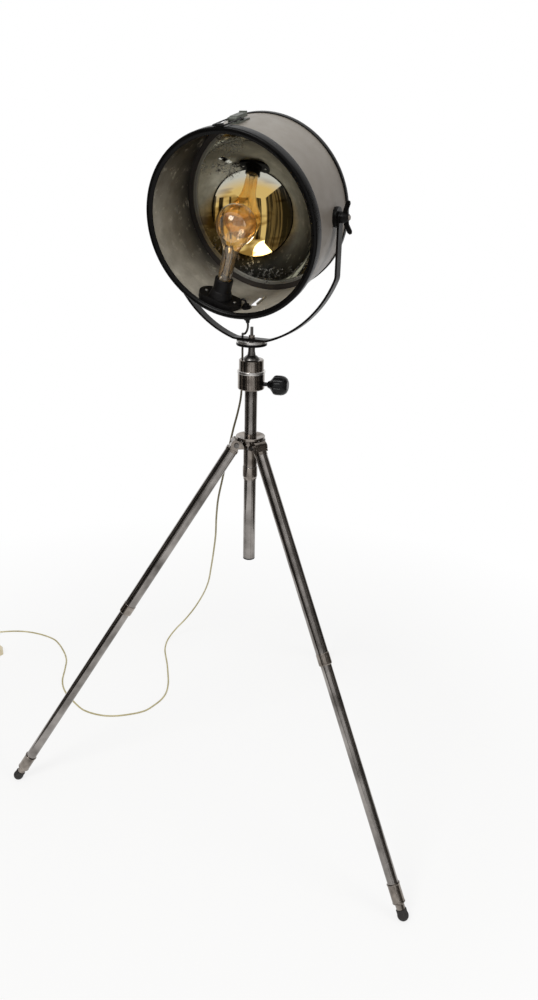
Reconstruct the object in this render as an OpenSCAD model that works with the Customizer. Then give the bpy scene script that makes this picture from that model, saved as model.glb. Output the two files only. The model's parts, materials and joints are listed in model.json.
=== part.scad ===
// Floor lamp: a studio spotlight drum in a flat-bar yoke, on a ball head and a folding chrome tripod.
// Millimetres, +Z up. The origin is on the floor under the middle of the feet's outline; the viewer stands at -Y.
// Sizes and routes are written from the column's axis, and at_column() sets them in their place.

/* [Tripod legs] */
// Height of the leg hinges above the floor
hinge_height = 807; // [760:1:860]
// Gap between a folded leg and the column's lock nut
leg_gap = 1.6; // [1:0.1:4]
// Angle of an open leg from upright
leg_spread = 32; // [28:1:36]
// Plan direction of each leg, from the viewer's side towards the right
leg_directions = [35, -85, 155];
// Outer diameter of the upper leg tubes
upper_tube_d = 25; // [24:0.5:26]
// Wall of the upper leg tubes
upper_tube_wall = 1.45; // [1.2:0.05:2]
// Lower end of the upper tubes, from the hinge along the leg
upper_tube_end = 432; // [400:1:470]
// Wall of the lower leg tubes
lower_tube_wall = 1.5; // [1:0.1:2.5]
// How far a lower tube reaches into its upper tube
leg_overlap = 70; // [50:1:120]
// Length of the twist collars
leg_collar_length = 24; // [20:1:34]
// Wall of the twist collars over the upper tubes
leg_collar_wall = 0.75; // [0.6:0.05:2]
// Diameter of the rubber feet
foot_d = 22; // [20:0.5:26]
// Depth of the flat that a foot stands on
foot_flat = 0.8; // [0.5:0.1:1.5]
// Length of the foot ferrules that shows above the rubber
ferrule_length = 50; // [44:1:60]

/* [Shoulder] */
// Outer diameter of the column
column_d = 25; // [24:0.5:26]
// Wall of the column tube
column_wall = 1.5; // [1:0.1:2.5]
// Wall of the shoulder sleeve
sleeve_wall = 1.25; // [1:0.05:2.5]
// Depth of the sleeve's lower end below the hinges
sleeve_drop = 46; // [40:1:60]
// Reach of the dish beyond the hinges
dish_reach = 0.25; // [-1:0.25:1]
// Height of the dish's rim
dish_rim_h = 5; // [4:0.5:7]
// Outside width of a leg bracket
bracket_w = 27.6; // [27:0.2:30]
// Thickness of a bracket's rounded hood
hood_t = 2; // [1.5:0.1:3]
// Thickness of a bracket's cheeks
cheek_t = 3; // [2.5:0.1:3.5]
// Diameter of the hinge bolts
hinge_bolt_d = 6; // [5:0.5:7]
// Wall of the column's lock nut over its collet
column_nut_wall = 1.7; // [1.5:0.1:4]
// Length of the column's lock nut
column_nut_length = 27; // [22:1:34]

/* [Column and ball head] */
// Height of the column's top above the hinges
column_rise = 119; // [100:1:140]
// Depth of the column's lower end below the hinges
column_drop = 253; // [230:1:300]
// Diameter of the ball
ball_d = 36; // [34:0.5:37]
// Height of the ball's centre above the head's underside
ball_rise = 50.6; // [48:0.2:54]
// Wall of the head's lower housing at its rim
housing_wall = 3.45; // [2.5:0.05:5]
// Wall of the head's upper housing beside the ball
upper_housing_wall = 6; // [5:0.1:8]
// Direction of the lock knob, from +X towards the back
knob_direction = -15; // [-40:1:20]
// Diameter of the lock knob
knob_d = 38.6; // [34:0.2:42]
// Length of the lock knob's body
knob_length = 33; // [28:1:38]
// Diameter of the stem between the ball and the platform
stem_d = 13.5; // [13:0.5:15]
// Height of the stem's top above the ball's centre
stem_length = 35.5; // [33:0.5:45]
// Diameter of the round platform
platform_d = 60; // [54:1:62]
// Thickness of the platform disc
platform_t = 5; // [4:0.5:7]
// Thickness of the pad on the platform
pad_t = 4.6; // [3:0.1:6]
// Diameter of the stud that carries the yoke
yoke_stud_d = 6; // [5:0.5:6.5]

/* [Yoke] */
// Turn of the lamp about upright: minus is towards the viewer's left
head_yaw = -25.2; // [-60:0.2:60]
// Thickness of the flat bar
yoke_t = 4; // [3:0.2:5]
// Width of the flat bar
yoke_w = 20; // [18:0.5:22]
// Gap between the drum and each arm
pivot_gap = 6.5; // [6:0.1:9]
// Gap between the drum and the bar's flat middle
strap_gap = 67.9; // [64:0.1:76]
// Half of the bar's flat middle
strap_half = 30; // [28:1:34]
// Radius of the bar's four bends
yoke_bend_r = 24; // [16:1:30]
// Slope of the bar where its flat middle ends
yoke_foot_angle = 18; // [14:1:20]
// Slope of the bar where its arms start
yoke_elbow_angle = 68; // [62:1:72]

/* [Drum] */
// Downward tilt of the drum's mouth
drum_tilt = 12.3; // [-30:0.1:40]
// Outer radius of the drum
drum_r = 159; // [150:0.5:170]
// Thickness of the drum's sheet
drum_wall = 1.5; // [1:0.1:2]
// Drum's front edge, ahead of the pivots
drum_front = 98; // [96:0.5:104]
// Drum's rear edge, behind the pivots
drum_back = 61; // [58:0.5:66]
// Thickness of the front ring over the drum
ring_lip = 4.9; // [4:0.1:5.5]
// Width of the front ring's face
ring_face = 11.9; // [10:0.1:14]
// How far the front ring stands ahead of the drum
ring_depth = 6; // [5.5:0.1:9]
// How far the front ring reaches back over the drum
ring_skirt = 17; // [12:0.5:20]
// Thickness of the rear cover's sheet
cover_wall = 1.8; // [1.4:0.1:2.4]
// Distance of the mirror's rim from the drum's wall
mirror_inset = 9.5; // [8:0.5:14]
// Distance of the mirror's rim from the drum's rear edge
mirror_recess = 16; // [10:0.5:20]
// Depth of the mirror's bowl
mirror_depth = 77.5; // [70:0.5:80]
// Thickness of the mirror
mirror_t = 3; // [2:0.2:4]
// Gap between the mirror and the rear dome
dome_gap = 2.2; // [1:0.1:6]
// Diameter of the pivot studs
pivot_stud_d = 8; // [7:0.5:9]
// Diameter of the pivot spacers between drum and yoke
pivot_spacer_d = 36; // [30:1:40]
// Width of the long vent in the drum's floor
long_vent_w = 13; // [10:0.5:15]
// Length of the long vent
long_vent_l = 44; // [38:1:48]
// Width of the short vent behind the front ring
short_vent_w = 24.5; // [20:0.5:28]
// Length of the short vent
short_vent_l = 8.6; // [6:0.2:10]

/* [Lamp holder and bulb] */
// Gap between the holder's base and the cable gland's locknut
holder_gap = 2.7; // [1.5:0.1:6]
// Distance of the holder behind the drum's front edge
holder_setback = 27; // [25:0.5:32]
// Length of the holder's base
holder_base_l = 84; // [76:1:88]
// Width of the holder's base
holder_base_w = 46; // [40:1:48]
// Diameter of the holder's barrel
holder_barrel_d = 34; // [33:0.5:38]
// Height of the holder's mouth above the drum wall
holder_height = 51.5; // [50:0.5:60]
// Radius of the bulb's globe
bulb_r = 36.7; // [34:0.1:38]
// Height of the globe's centre above the drum wall
bulb_centre = 155.3; // [146:0.1:158]
// Diameter of the bulb's screw cap
cap_d = 26.4; // [26:0.1:26.6]

/* [Cable] */
// Diameter of the mains cable
cable_d = 4.2; // [4:0.1:5]
// Gland's distance round the drum, from the bottom towards the right
gland_side = 1.5; // [0:0.5:8]
// Distance of the gland behind the drum's front edge
gland_setback = 35; // [33:0.5:38]

/* [Hidden] */
$fn = 96;

// Named clearances
running = 0.05; // radial, in a fit that turns or slides
free = 0.3; // between curved pieces of different bodies
face = 0.05; // between two faces that slide on each other

// Outer sizes that follow from walls and clearances
column_r = column_d / 2;
sleeve_bore_r = column_r + running;
sleeve_r = sleeve_bore_r + running + sleeve_wall;
collet_wall = 0.6;
column_nut_r = sleeve_bore_r + collet_wall + running + column_nut_wall;
hinge_radius = column_nut_r + upper_tube_d / 2 + leg_gap;
leg_collar_r = upper_tube_d / 2 + 2 * running + leg_collar_wall;

// Leg sizes, as distances from the hinge along the leg
head_top = 12; // shoulder ring of the leg head
head_seat = 18; // where the upper tube starts
head_end = 40; // end of the plug in the tube
head_ring_r = upper_tube_d / 2 + 0.8;
tongue_r = 8.9;
tongue_w = bracket_w - 2 * cheek_t - 2 * free;
upper_bore_r = upper_tube_d / 2 - upper_tube_wall;
lower_r = upper_bore_r - running;
lower_start = upper_tube_end - leg_overlap;
collar_start = upper_tube_end - leg_collar_length / 3;
collar_end = collar_start + leg_collar_length;
foot_centre_height = foot_d / 2 - foot_flat;
foot_centre = (hinge_height - foot_centre_height) / cos(leg_spread);
tip_top = foot_centre - foot_d / 2 - 1;
ferrule_end = tip_top - 12;
ferrule_start = tip_top - ferrule_length;
ferrule_bore_end = ferrule_end - 4;
peg_r = 4;

// Shoulder
dish_r = hinge_radius + dish_reach;
dish_hollow = 5.5;
bracket_gap = 0.7;
plate_t = 3.1;
hood_bore_r = tongue_r + 0.4;
hood_r = hood_bore_r + hood_t;
dish_edge = hood_r + bracket_gap;
dish_rise = dish_edge + dish_rim_h;
dish_neck = [sleeve_r + 1, -1];
dish_knee = [hinge_radius - 9, dish_edge - 4];
bolt_reach = bracket_w / 2 + 5;
collet_flange = 2.6;
nut_top = -sleeve_drop - collet_flange;
nut_bottom = nut_top - column_nut_length;
nut_nose = 7;
screw_turn = 50;
screw_height = -8;

// Column and head; heights of the head are from the lower housing's underside
plug_r = column_r - column_wall - running;
column_top = hinge_height + column_rise;
socket_depth = 6.1;
head_z = column_top - socket_depth;
column_stud_r = 5;
stud_pocket = socket_depth + 10.5;
ball_r = ball_d / 2;
seat_r = ball_r + free;
cup_r = seat_r + 1.7;
cup_floor = ball_rise - seat_r - 10.3;
cup_top = ball_rise - 10;
rim = 31.4;
spigot = 3.9;
spigot_r = cup_r + 3;
mouth_rise = 8.2;
housing_r = spigot_r + running + housing_wall;
upper_housing_r = seat_r + upper_housing_wall;
collar_r = housing_r + 1;
knob_z = 11;
knob_screw_r = 4;
knob_start = housing_r + 7.5;
flare = 27;
platform_z = ball_rise + stem_length;
pad_z = platform_z + platform_t;
strap_z = pad_z + pad_t;
yoke_drop = drum_r + strap_gap + yoke_t;
pivot_height = head_z + strap_z + face + yoke_drop;
yoke_stud_r = yoke_stud_d / 2;
yoke_stud_top = strap_z + 25.4;
nut_flange_r = 7;

// Drum; its own frame has the pivots on X, the mouth towards +Z and up on Y
shell_bore = drum_r - drum_wall;
yoke_half_gap = drum_r + pivot_gap;
yoke_outer = yoke_half_gap + yoke_t;
yoke_line = yoke_half_gap + yoke_t / 2; // middle of the bar in its arms
yoke_arc_r = (yoke_line - strap_half - yoke_bend_r * (1 + sin(yoke_foot_angle) - sin(yoke_elbow_angle)))
    / (sin(yoke_elbow_angle) - sin(yoke_foot_angle));
pivot_stud_r = pivot_stud_d / 2;
stud_head_reach = sqrt(pow(shell_bore, 2) - pow(pivot_stud_d, 2)) - 0.1;
washer_t = 2;
wing_seat = yoke_outer + washer_t + 2 * face;
wing_turn = 96;
stud_reach = wing_seat + 14;
ring_r = drum_r + ring_lip;
mouth_r = ring_r - ring_face;
ring_front = drum_front + ring_depth;
ring_rear = drum_front - ring_skirt;
mirror_rim_r = shell_bore - mirror_inset;
mirror_curve = (pow(mirror_rim_r, 2) + pow(mirror_depth, 2)) / (2 * mirror_depth);
mirror_seat = mirror_recess - drum_back;
mirror_centre = mirror_seat + mirror_curve - mirror_depth;
cover_front = -drum_back + 8;
cover_back = -drum_back - 4;
cover_bore = drum_r + free;
cover_r = cover_bore + cover_wall;
dome_depth = mirror_depth - mirror_seat + mirror_t + dome_gap + cover_wall;
dome_rim = cover_bore + cover_wall;
cover_step = 1.9; // width of the ledge between skirt and dome
dome_rise = dome_depth + cover_back;
long_vent_angle = 2.6;
long_vent_forward = 24;
vent_lip_angle = long_vent_angle + (long_vent_w / 2 + 1) / shell_bore * 180 / PI;
short_vent_angle = -21.4;
short_vent_forward = ring_rear - 1 - short_vent_l / 2;
dome_r = (pow(dome_rim, 2) + pow(dome_rise, 2)) / (2 * dome_rise);

// Latch, on the top of the drum
latch_pivot = drum_front - 50;
latch_rise = 7;
latch_length = 37;
bail_arm = 10;
bail_r = 1.2;
latch_w = 18;
bail_half = latch_w / 2 + 1.6;
latch_screws = [latch_pivot - 32, latch_pivot - 12];
keeper_front = ring_front + 0.4;
bail_front = keeper_front + 0.3 + bail_r;

// Lamp holder; heights are from the drum's inner wall towards its axis
holder_flange = 15;
holder_shoulder = 28;
socket_r = cap_d / 2 + 0.25;
cap_start = holder_height - 22;
glass_wall = 1;
neck_r = cap_d / 2 - 0.8;

// Gland; heights are from the drum's outer wall outwards
gland_angle = gland_side / drum_r * 180 / PI;
gland_forward = drum_front - gland_setback;
gland_ring_r = 8.6;
holder_forward = drum_front - holder_setback;
holder_angle = gland_angle - 2 * asin((holder_base_l / 2 + gland_ring_r + holder_gap) / (2 * shell_bore));
gland_nut_t = 6;
gland_length = 26;
gland_bore = cable_d / 2 + 0.03;
cable_r = cable_d / 2;
cable_corner_r = 1.06 * cable_r; // corners of the swept cable's eight sides
lead_rise = 13;
lead_bend = 5.8;
lead_turn = 180 - gland_angle + holder_angle;
lead_entry = (drum_r - lead_rise - lead_bend * sin(lead_turn)) * sin(gland_angle - holder_angle)
    - lead_bend * (1 - cos(lead_turn)) * cos(gland_angle - holder_angle);
lead_side = holder_forward - gland_forward;

// The drum's own axes in the lamp's frame, for the point where the cable leaves the gland
drum_x = [cos(head_yaw), sin(head_yaw), 0];
drum_z = [sin(head_yaw) * cos(drum_tilt), -cos(head_yaw) * cos(drum_tilt), -sin(drum_tilt)];
drum_y = [sin(head_yaw) * sin(drum_tilt), -cos(head_yaw) * sin(drum_tilt), cos(drum_tilt)];
drum_middle = [0, 0, pivot_height];
gland_out = sin(gland_angle) * drum_x - cos(gland_angle) * drum_y;
cable_exit = drum_middle + (drum_r + gland_length) * gland_out + gland_forward * drum_z;

// Route of the cable: from the gland over the yoke's strap, down behind the head and the shoulder,
// then in a long free curve to the floor
hang_route = [
    [-7.6, -18.6, 1043.5], [-10, -14, 1034.5], [-13.5, -5, 1028.5], [-16.5, 6, 1026.2], [-18, 18, 1024],
    [-18, 28, 1018.5], [-18, 31, 1010], [-18, 31, 990], [-18, 30, 970], [-19, 28, 940],
    [-19, 27, 912], [-21, 27, 890], [-27, 29, 860], [-35, 30, 828], [-45, 36, 780],
    [-58, 55, 710], [-68, 80, 655], [-74, 122, 595], [-79, 190, 517], [-87, 260, 442],
    [-97, 340, 360], [-110, 430, 267], [-125, 484, 205], [-145, 530, 147], [-166, 562, 99],
    [-192, 580, 56], [-213, 582, 31], [-229, 573, 14], [-240, 552, 4.5], [-243, 520, cable_r]
];
// Route on the floor, out of the view on the left and back to the plug
floor_route = [
    [-242, 500], [-238, 476], [-229, 430], [-221, 374], [-217, 338], [-217, 303], [-221, 278],
    [-231, 254], [-246, 232], [-262, 213], [-281, 202], [-302, 195], [-334, 188], [-366, 188],
    [-398, 197], [-427, 213], [-446, 233], [-466, 258], [-484, 283], [-499, 313], [-508, 346],
    [-512, 394], [-517, 441], [-526, 470], [-541, 502], [-556, 528], [-575, 553], [-600, 571],
    [-628, 585], [-658, 595], [-690, 600], [-720, 599], [-750, 594], [-775, 587], [-795, 575],
    [-804, 558], [-801, 540], [-788, 527], [-770, 517]
];
plug_centre = [-729, 476];
plug_turn = 45;
plug_half = 18;
plug_t = 22;
relief_length = 25;

// Place of the column, so that the middle of the feet's outline is over the origin
foot_reach = hinge_radius + foot_centre * sin(leg_spread);
feet_x = [for (direction = leg_directions) foot_reach * sin(direction)];
feet_y = [for (direction = leg_directions) -foot_reach * cos(direction)];
column_place = [-(max(feet_x) + min(feet_x)) / 2, -(max(feet_y) + min(feet_y)) / 2, 0];

// ---------- helpers ----------

module rod(r, low, high) {
    translate([0, 0, low]) cylinder(r = r, h = high - low);
}

module ring(outer, inner, low, high) {
    difference() {
        rod(outer, low, high);
        rod(inner, low - 1, high + 1);
    }
}

module turned(outline) {
    rotate_extrude() polygon(outline);
}

module across(width) {
    // extrudes an outline drawn as [outwards from the column, up] to a width along X
    rotate([90, 0, -90]) translate([0, 0, -width / 2]) linear_extrude(width) children();
}

module along_x() {
    rotate([0, 90, 0]) children();
}

module at_column(height = 0) {
    translate(column_place + [0, 0, height]) children();
}

module at_hinge(direction) {
    at_column(hinge_height) rotate([0, 0, direction]) translate([0, -hinge_radius, 0]) children();
}

module on_leg(leg) {
    at_hinge(leg_directions[leg]) rotate([-leg_spread, 0, 0]) children();
}

module at_shoulder() {
    at_column(hinge_height) children();
}

module at_head() {
    at_column(head_z) children();
}

module at_yoke() {
    at_column(pivot_height) rotate([0, 0, head_yaw]) children();
}

module at_drum() {
    at_yoke() rotate([drum_tilt, 0, 0]) rotate([90, 0, 0]) children();
}

module inwards(angle, forward, radius) {
    // local Z points from the wall to the drum's axis
    rotate([0, 0, angle]) translate([0, -radius, forward]) rotate([-90, 0, 0]) children();
}

module outwards(angle, forward, radius) {
    // local Z points away from the drum's axis, local Y to the mouth
    rotate([0, 0, angle]) translate([0, -radius, forward]) rotate([90, 0, 0]) children();
}

module block(size, centre) {
    translate(centre - size / 2) cube(size);
}

function arc(centre, r, from, to, steps) =
    [for (i = [0 : steps]) let (a = from + (to - from) * i / steps) centre + r * [sin(a), cos(a)]];

// ---------- legs ----------

module leg_head(leg) {
    color("silver") on_leg(leg) difference() {
        union() {
            intersection() {
                rod(head_ring_r, -head_top - 1, tongue_r + 1);
                union() {
                    along_x() rod(tongue_r, -tongue_w / 2, tongue_w / 2);
                    block([tongue_w, 2 * tongue_r, head_top + 1], [0, 0, -(head_top + 1) / 2]);
                }
            }
            rod(head_ring_r, -head_seat, -head_top);
            rod(upper_bore_r - 0.1, -head_end, -head_seat);
        }
        along_x() rod(hinge_bolt_d / 2 + running, -tongue_w, tongue_w);
    }
}

module leg_upper(leg) {
    color("gainsboro") on_leg(leg) ring(upper_tube_d / 2, upper_bore_r, -upper_tube_end, -head_seat);
}

module leg_collar(leg) {
    outer = leg_collar_r;
    step = -upper_tube_end - face;
    color("silver") on_leg(leg) turned([
        [upper_tube_d / 2 + running, -collar_start], [outer - 0.5, -collar_start],
        [outer, -collar_start - 0.5], [outer, -collar_end + 2], [outer - 1.4, -collar_end],
        [lower_r + running, -collar_end], [lower_r + running, step], [upper_tube_d / 2 + running, step]
    ]);
}

module leg_lower(leg) {
    color("gainsboro") on_leg(leg)
        ring(lower_r, lower_r - lower_tube_wall, -ferrule_bore_end, -lower_start);
}

module foot_ferrule(leg) {
    barrel = lower_r + 1.2;
    color("silver") on_leg(leg) difference() {
        turned([
            [0, -ferrule_start], [barrel + 0.8, -ferrule_start], [barrel + 0.8, -ferrule_start - 2],
            [barrel, -ferrule_start - 2.6], [barrel, -ferrule_end + 3],
            [barrel + 0.4, -ferrule_end + 2.4], [barrel + 0.4, -ferrule_end + 0.8],
            [barrel - 0.6, -ferrule_end], [9, -ferrule_end - 1.5], [8.7, -tip_top],
            [peg_r, -tip_top], [peg_r, -tip_top - 7], [0, -tip_top - 7]
        ]);
        rod(lower_r + running, -ferrule_bore_end, 0);
    }
}

module foot_tip(leg) {
    color("dimgray") difference() {
        on_leg(leg) difference() {
            union() {
                translate([0, 0, -foot_centre]) sphere(foot_d / 2);
                rod(foot_d / 2 - 0.8, -foot_centre, -tip_top - face);
            }
            rod(peg_r + running, -tip_top - 7 - running, 0);
        }
        translate([-hinge_height, -hinge_height, -20]) cube([2 * hinge_height, 2 * hinge_height, 20]);
    }
}

// ---------- shoulder ----------

module shoulder_hub() {
    low = -sleeve_drop;
    color("silver") at_shoulder() difference() {
        turned([
            [sleeve_bore_r, low], [sleeve_r, low], [sleeve_r, dish_neck[1] - 1.7], dish_neck, dish_knee,
            [dish_r - 0.4, dish_edge], [dish_r, dish_edge + 0.4], [dish_r, dish_rise - 0.6],
            [dish_r - 0.6, dish_rise], [dish_r - 1.8, dish_rise], [sleeve_r + 1.6, dish_rise - dish_hollow],
            [sleeve_bore_r, dish_rise - dish_hollow]
        ]);
        for (direction = leg_directions)
            rotate([0, 0, direction - screw_turn]) translate([0, 0, screw_height]) rotate([90, 0, 0])
                rod(1.55, sleeve_bore_r - 2, sleeve_r + 2);
    }
}

module bracket_outline() {
    // side view of a bracket: [outwards from the hinge, up]
    plate = sleeve_r + running - hinge_radius;
    polygon([
        [plate, -8.5], [plate, dish_neck[1] - 1.6], [dish_knee[0] + 0.1 - hinge_radius, dish_knee[1] - bracket_gap],
        [1, hood_r - 0.4], [1, -8.5]
    ]);
    intersection() {
        circle(hood_r);
        translate([-0.5, -2 * hood_r]) square(4 * hood_r);
    }
    // stop that the leg head's shoulder rests against when the leg is open
    rotate(leg_spread) translate([0, face - head_top]) square([8, head_top]);
}

module leg_bracket() {
    inner_w = bracket_w - 2 * cheek_t;
    plate = sleeve_r + running + plate_t - hinge_radius;
    difference() {
        across(bracket_w) bracket_outline();
        across(inner_w) {
            circle(hood_bore_r);
            translate([plate, -20]) square([60, 20]);
            rotate(leg_spread) translate([0, -20]) square([60, 20]);
            translate([plate, -1]) square([-plate, 5]);
        }
        along_x() rod(hinge_bolt_d / 2 + running, -bracket_w, bracket_w);
    }
}

module leg_brackets() {
    color("gainsboro") for (direction = leg_directions) at_hinge(direction) leg_bracket();
}

module hinge_bolts() {
    bolt_r = hinge_bolt_d / 2;
    half = bracket_w / 2;
    color("darkgray") for (direction = leg_directions) at_hinge(direction) along_x() {
        // bolt with its head on the right-hand cheek
        rod(bolt_r, -bolt_reach, half + 1);
        rod(5, half + 1, bolt_reach - 0.6);
        rod(4, bolt_reach - 0.6, bolt_reach);
        ring(5.5, bolt_r + running, half, half + 1);
        // nut on the other cheek
        ring(5.2, bolt_r + running, -half - 4.2, -half);
    }
}

module hub_screws() {
    color("dimgray") at_shoulder() for (direction = leg_directions)
        rotate([0, 0, direction - screw_turn]) translate([0, 0, screw_height]) rotate([90, 0, 0]) {
            rod(1.5, sleeve_bore_r + 0.1, sleeve_r + 0.2);
            rod(2.75, sleeve_r + running, sleeve_r + 1.8);
        }
}

module clamp_collet() {
    thin_r = sleeve_bore_r + collet_wall;
    color("silver") at_shoulder() difference() {
        turned([
            [sleeve_bore_r, nut_bottom + nut_nose + 2], [thin_r, nut_bottom + nut_nose + 2], [thin_r, nut_top],
            [sleeve_r + 0.2, nut_top], [sleeve_r + 0.2, -sleeve_drop], [sleeve_bore_r, -sleeve_drop]
        ]);
        for (turn = [0, 60, 120]) rotate([0, 0, turn])
            translate([-30, -0.6, nut_bottom]) cube([60, 1.2, column_nut_length - 2]);
    }
}

module column_nut() {
    outer = column_nut_r;
    thin_r = sleeve_bore_r + collet_wall;
    color("silver") at_shoulder() turned([
        [sleeve_bore_r, nut_bottom], [sleeve_bore_r + 1, nut_bottom], [sleeve_bore_r + 1, nut_bottom + 2.6],
        [outer - 0.9, nut_bottom + 4.4], [outer, nut_bottom + 7], [outer, nut_top - 1],
        [outer - 0.5, nut_top - face], [thin_r + running, nut_top - face],
        [thin_r + running, nut_bottom + nut_nose], [sleeve_bore_r, nut_bottom + nut_nose]
    ]);
}

// ---------- column and ball head ----------

module column_tube() {
    color("gainsboro") at_shoulder() ring(column_r, column_r - column_wall, -column_drop, column_rise);
}

module column_plugs() {
    color("dimgray") at_shoulder() {
        // cap of the lower end
        rod(column_r, -column_drop - 3, -column_drop);
        rod(plug_r, -column_drop, -column_drop + 12);
        // insert of the upper end, with the stud that holds the head
        rod(plug_r, column_rise - 26, column_rise);
        rod(column_stud_r, column_rise, column_rise + 9.5);
    }
}

module head_lower_housing() {
    color("silver") at_head() difference() {
        turned([
            [sleeve_bore_r, 0], [housing_r - 2.6, 0], [housing_r - 0.8, 0.8], [housing_r, 2.6],
            [housing_r, rim], [spigot_r + running, rim], [spigot_r + running, rim - spigot - 0.1],
            [cup_r + running * 2, rim - spigot - 0.1], [cup_r + running * 2, cup_floor], [0, cup_floor],
            [0, stud_pocket], [column_stud_r + running, stud_pocket], [column_stud_r + running, socket_depth + 0.05],
            [sleeve_bore_r, socket_depth + 0.05]
        ]);
        knob_axis() rod(knob_screw_r + running, 12, housing_r + 5);
    }
}

module knob_axis() {
    translate([0, 0, knob_z]) rotate([0, 0, knob_direction]) along_x() children();
}

module head_collar() {
    inner = upper_housing_r + running;
    color("whitesmoke") at_head() turned([
        [inner, rim], [collar_r - 0.6, rim], [collar_r, rim + 0.6], [collar_r, rim + 5],
        [collar_r - 1, rim + 6], [inner, rim + 6]
    ]);
}

module head_upper_housing() {
    outer = upper_housing_r;
    top = ball_rise + mouth_rise;
    color("silver") at_head() difference() {
        turned([
            [0, rim - spigot], [spigot_r, rim - spigot], [spigot_r, rim], [outer, rim], [outer, top - 1.4],
            [outer - 1.4, top], [0, top]
        ]);
        rod(cup_r + running * 2, 0, cup_top + 0.1);
        rod(seat_r + running, 0, ball_rise);
        translate([0, 0, ball_rise]) sphere(seat_r);
    }
}

module ball_cup() {
    color("darkgray") at_head() difference() {
        rod(cup_r, cup_floor, cup_top);
        translate([0, 0, ball_rise]) sphere(seat_r);
    }
}

module lock_knob() {
    outer = knob_d / 2;
    start = knob_start;
    body = start + 7;
    end = body + knob_length;
    color("dimgray") at_head() knob_axis() difference() {
        union() {
            rod(knob_screw_r, 12.6, start);
            turned([
                [0, start], [6, start], [8.6, start + 5], [11, body], [outer - 1.4, body + 5.5],
                [outer, body + 9], [outer, end - 13], [outer - 1.6, end - 7], [outer - 5, end - 2.4],
                [outer - 9.5, end], [0, end]
            ]);
        }
        for (flute = [0 : 9]) rotate([0, 0, 36 * flute + 18]) translate([outer + 5.4, 0, 0]) rod(6.6, body, end + 1);
    }
}

module ball_stem() {
    r = stem_d / 2;
    top = stem_length;
    color("dimgray") at_head() translate([0, 0, ball_rise]) union() {
        sphere(ball_r);
        turned([
            [0, ball_r / 2], [(ball_r - 0.1) * sin(flare), (ball_r - 0.1) * cos(flare)], [r, ball_r + 6], [r, top],
            [yoke_stud_r + running, top], [yoke_stud_r + running, top - 12], [0, top - 12]
        ]);
    }
}

module platform_disc() {
    r = platform_d / 2;
    color("silver") at_head() turned([
        [yoke_stud_r + running, platform_z], [r - 1, platform_z], [r, platform_z + 1], [r, pad_z - 0.8],
        [r - 0.8, pad_z], [yoke_stud_r + running, pad_z]
    ]);
}

module platform_pad() {
    color("dimgray") at_head() ring(platform_d / 2 - 0.6, yoke_stud_r + running, pad_z, strap_z);
}

module yoke_stud() {
    color("silver") at_head() rod(yoke_stud_r, platform_z - 12 + running, yoke_stud_top);
}

module yoke_nut() {
    seat = strap_z + yoke_t + 2 * face;
    color("silver") at_head() difference() {
        union() {
            rod(nut_flange_r, seat, seat + 1.5);
            translate([0, 0, seat]) cylinder(r = 5.8, h = 5.6, $fn = 6);
        }
        rod(yoke_stud_r + running, 0, 2 * strap_z);
    }
}

// ---------- yoke ----------

// Side view of the bar: one of its faces on the right-hand half, from the flat middle over a bend, a wide
// arc and a second bend to the arm's middle line; out is the face's distance from the bar's middle line
foot_centre_line = [strap_half, yoke_bend_r + yoke_t / 2 - yoke_drop];
arc_centre = foot_centre_line + (yoke_arc_r - yoke_bend_r) * [-sin(yoke_foot_angle), cos(yoke_foot_angle)];
elbow_centre = arc_centre + (yoke_arc_r - yoke_bend_r) * [sin(yoke_elbow_angle), -cos(yoke_elbow_angle)];
function bar_side(out) = concat(
    arc(foot_centre_line, yoke_bend_r + out, 180, 180 - yoke_foot_angle, 5),
    arc(arc_centre, yoke_arc_r + out, 180 - yoke_foot_angle, 180 - yoke_elbow_angle, 28),
    arc(elbow_centre, yoke_bend_r + out, 180 - yoke_elbow_angle, 90, 5),
    [[yoke_line + out, 0]]
);
function backwards(path) = [for (i = [len(path) - 1 : -1 : 0]) path[i]];
function flipped(path) = [for (p = backwards(path)) [-p[0], p[1]]];
function bar_face(out) = concat(flipped(bar_side(out)), bar_side(out));

module yoke() {
    half = yoke_w / 2;
    color("dimgray") at_yoke() difference() {
        union() {
            rotate([90, 0, 0]) translate([0, 0, -half]) linear_extrude(yoke_w)
                polygon(concat(bar_face(yoke_t / 2), backwards(bar_face(-yoke_t / 2))));
            for (side = [0, 180]) rotate([0, 0, side]) intersection() {
                along_x() rod(half, yoke_half_gap, yoke_outer);
                block([2 * yoke_outer, yoke_w, half + 1], [0, 0, (half - 1) / 2]);
            }
        }
        along_x() rod(pivot_stud_r + running, -2 * yoke_outer, 2 * yoke_outer);
        rod(yoke_stud_r + running, -2 * yoke_drop, -drum_r);
    }
}

// ---------- drum ----------

module drum_shell() {
    color([0.54, 0.5, 0.46]) at_drum() difference() {
        union() {
            ring(drum_r, shell_bore, -drum_back, drum_front);
            // folded lip beside the long vent
            intersection() {
                rod(shell_bore + 0.5, -drum_back, drum_front);
                inwards(vent_lip_angle, long_vent_forward, shell_bore + 0.5)
                    block([1.5, long_vent_l - 2, 5], [0, 0, 2.5]);
            }
        }
        // long vent in the floor and short vent behind the ring
        outwards(long_vent_angle, long_vent_forward, drum_r) block([long_vent_w, long_vent_l, 20], [0, 0, 0]);
        outwards(short_vent_angle, short_vent_forward, drum_r) block([short_vent_w, short_vent_l, 20], [0, 0, 0]);
        outwards(gland_angle, gland_forward, 0) rod(6.05, drum_r - 20, drum_r + 20);
        along_x() rod(pivot_stud_r + running, -2 * drum_r, 2 * drum_r);
        for (side = [-1, 1]) screw_at_holder(side) rod(1.55, -12, 8);
        for (forward = latch_screws) outwards(180, forward, 0) rod(1.55, shell_bore - 5, drum_r + 5);
    }
}

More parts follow.
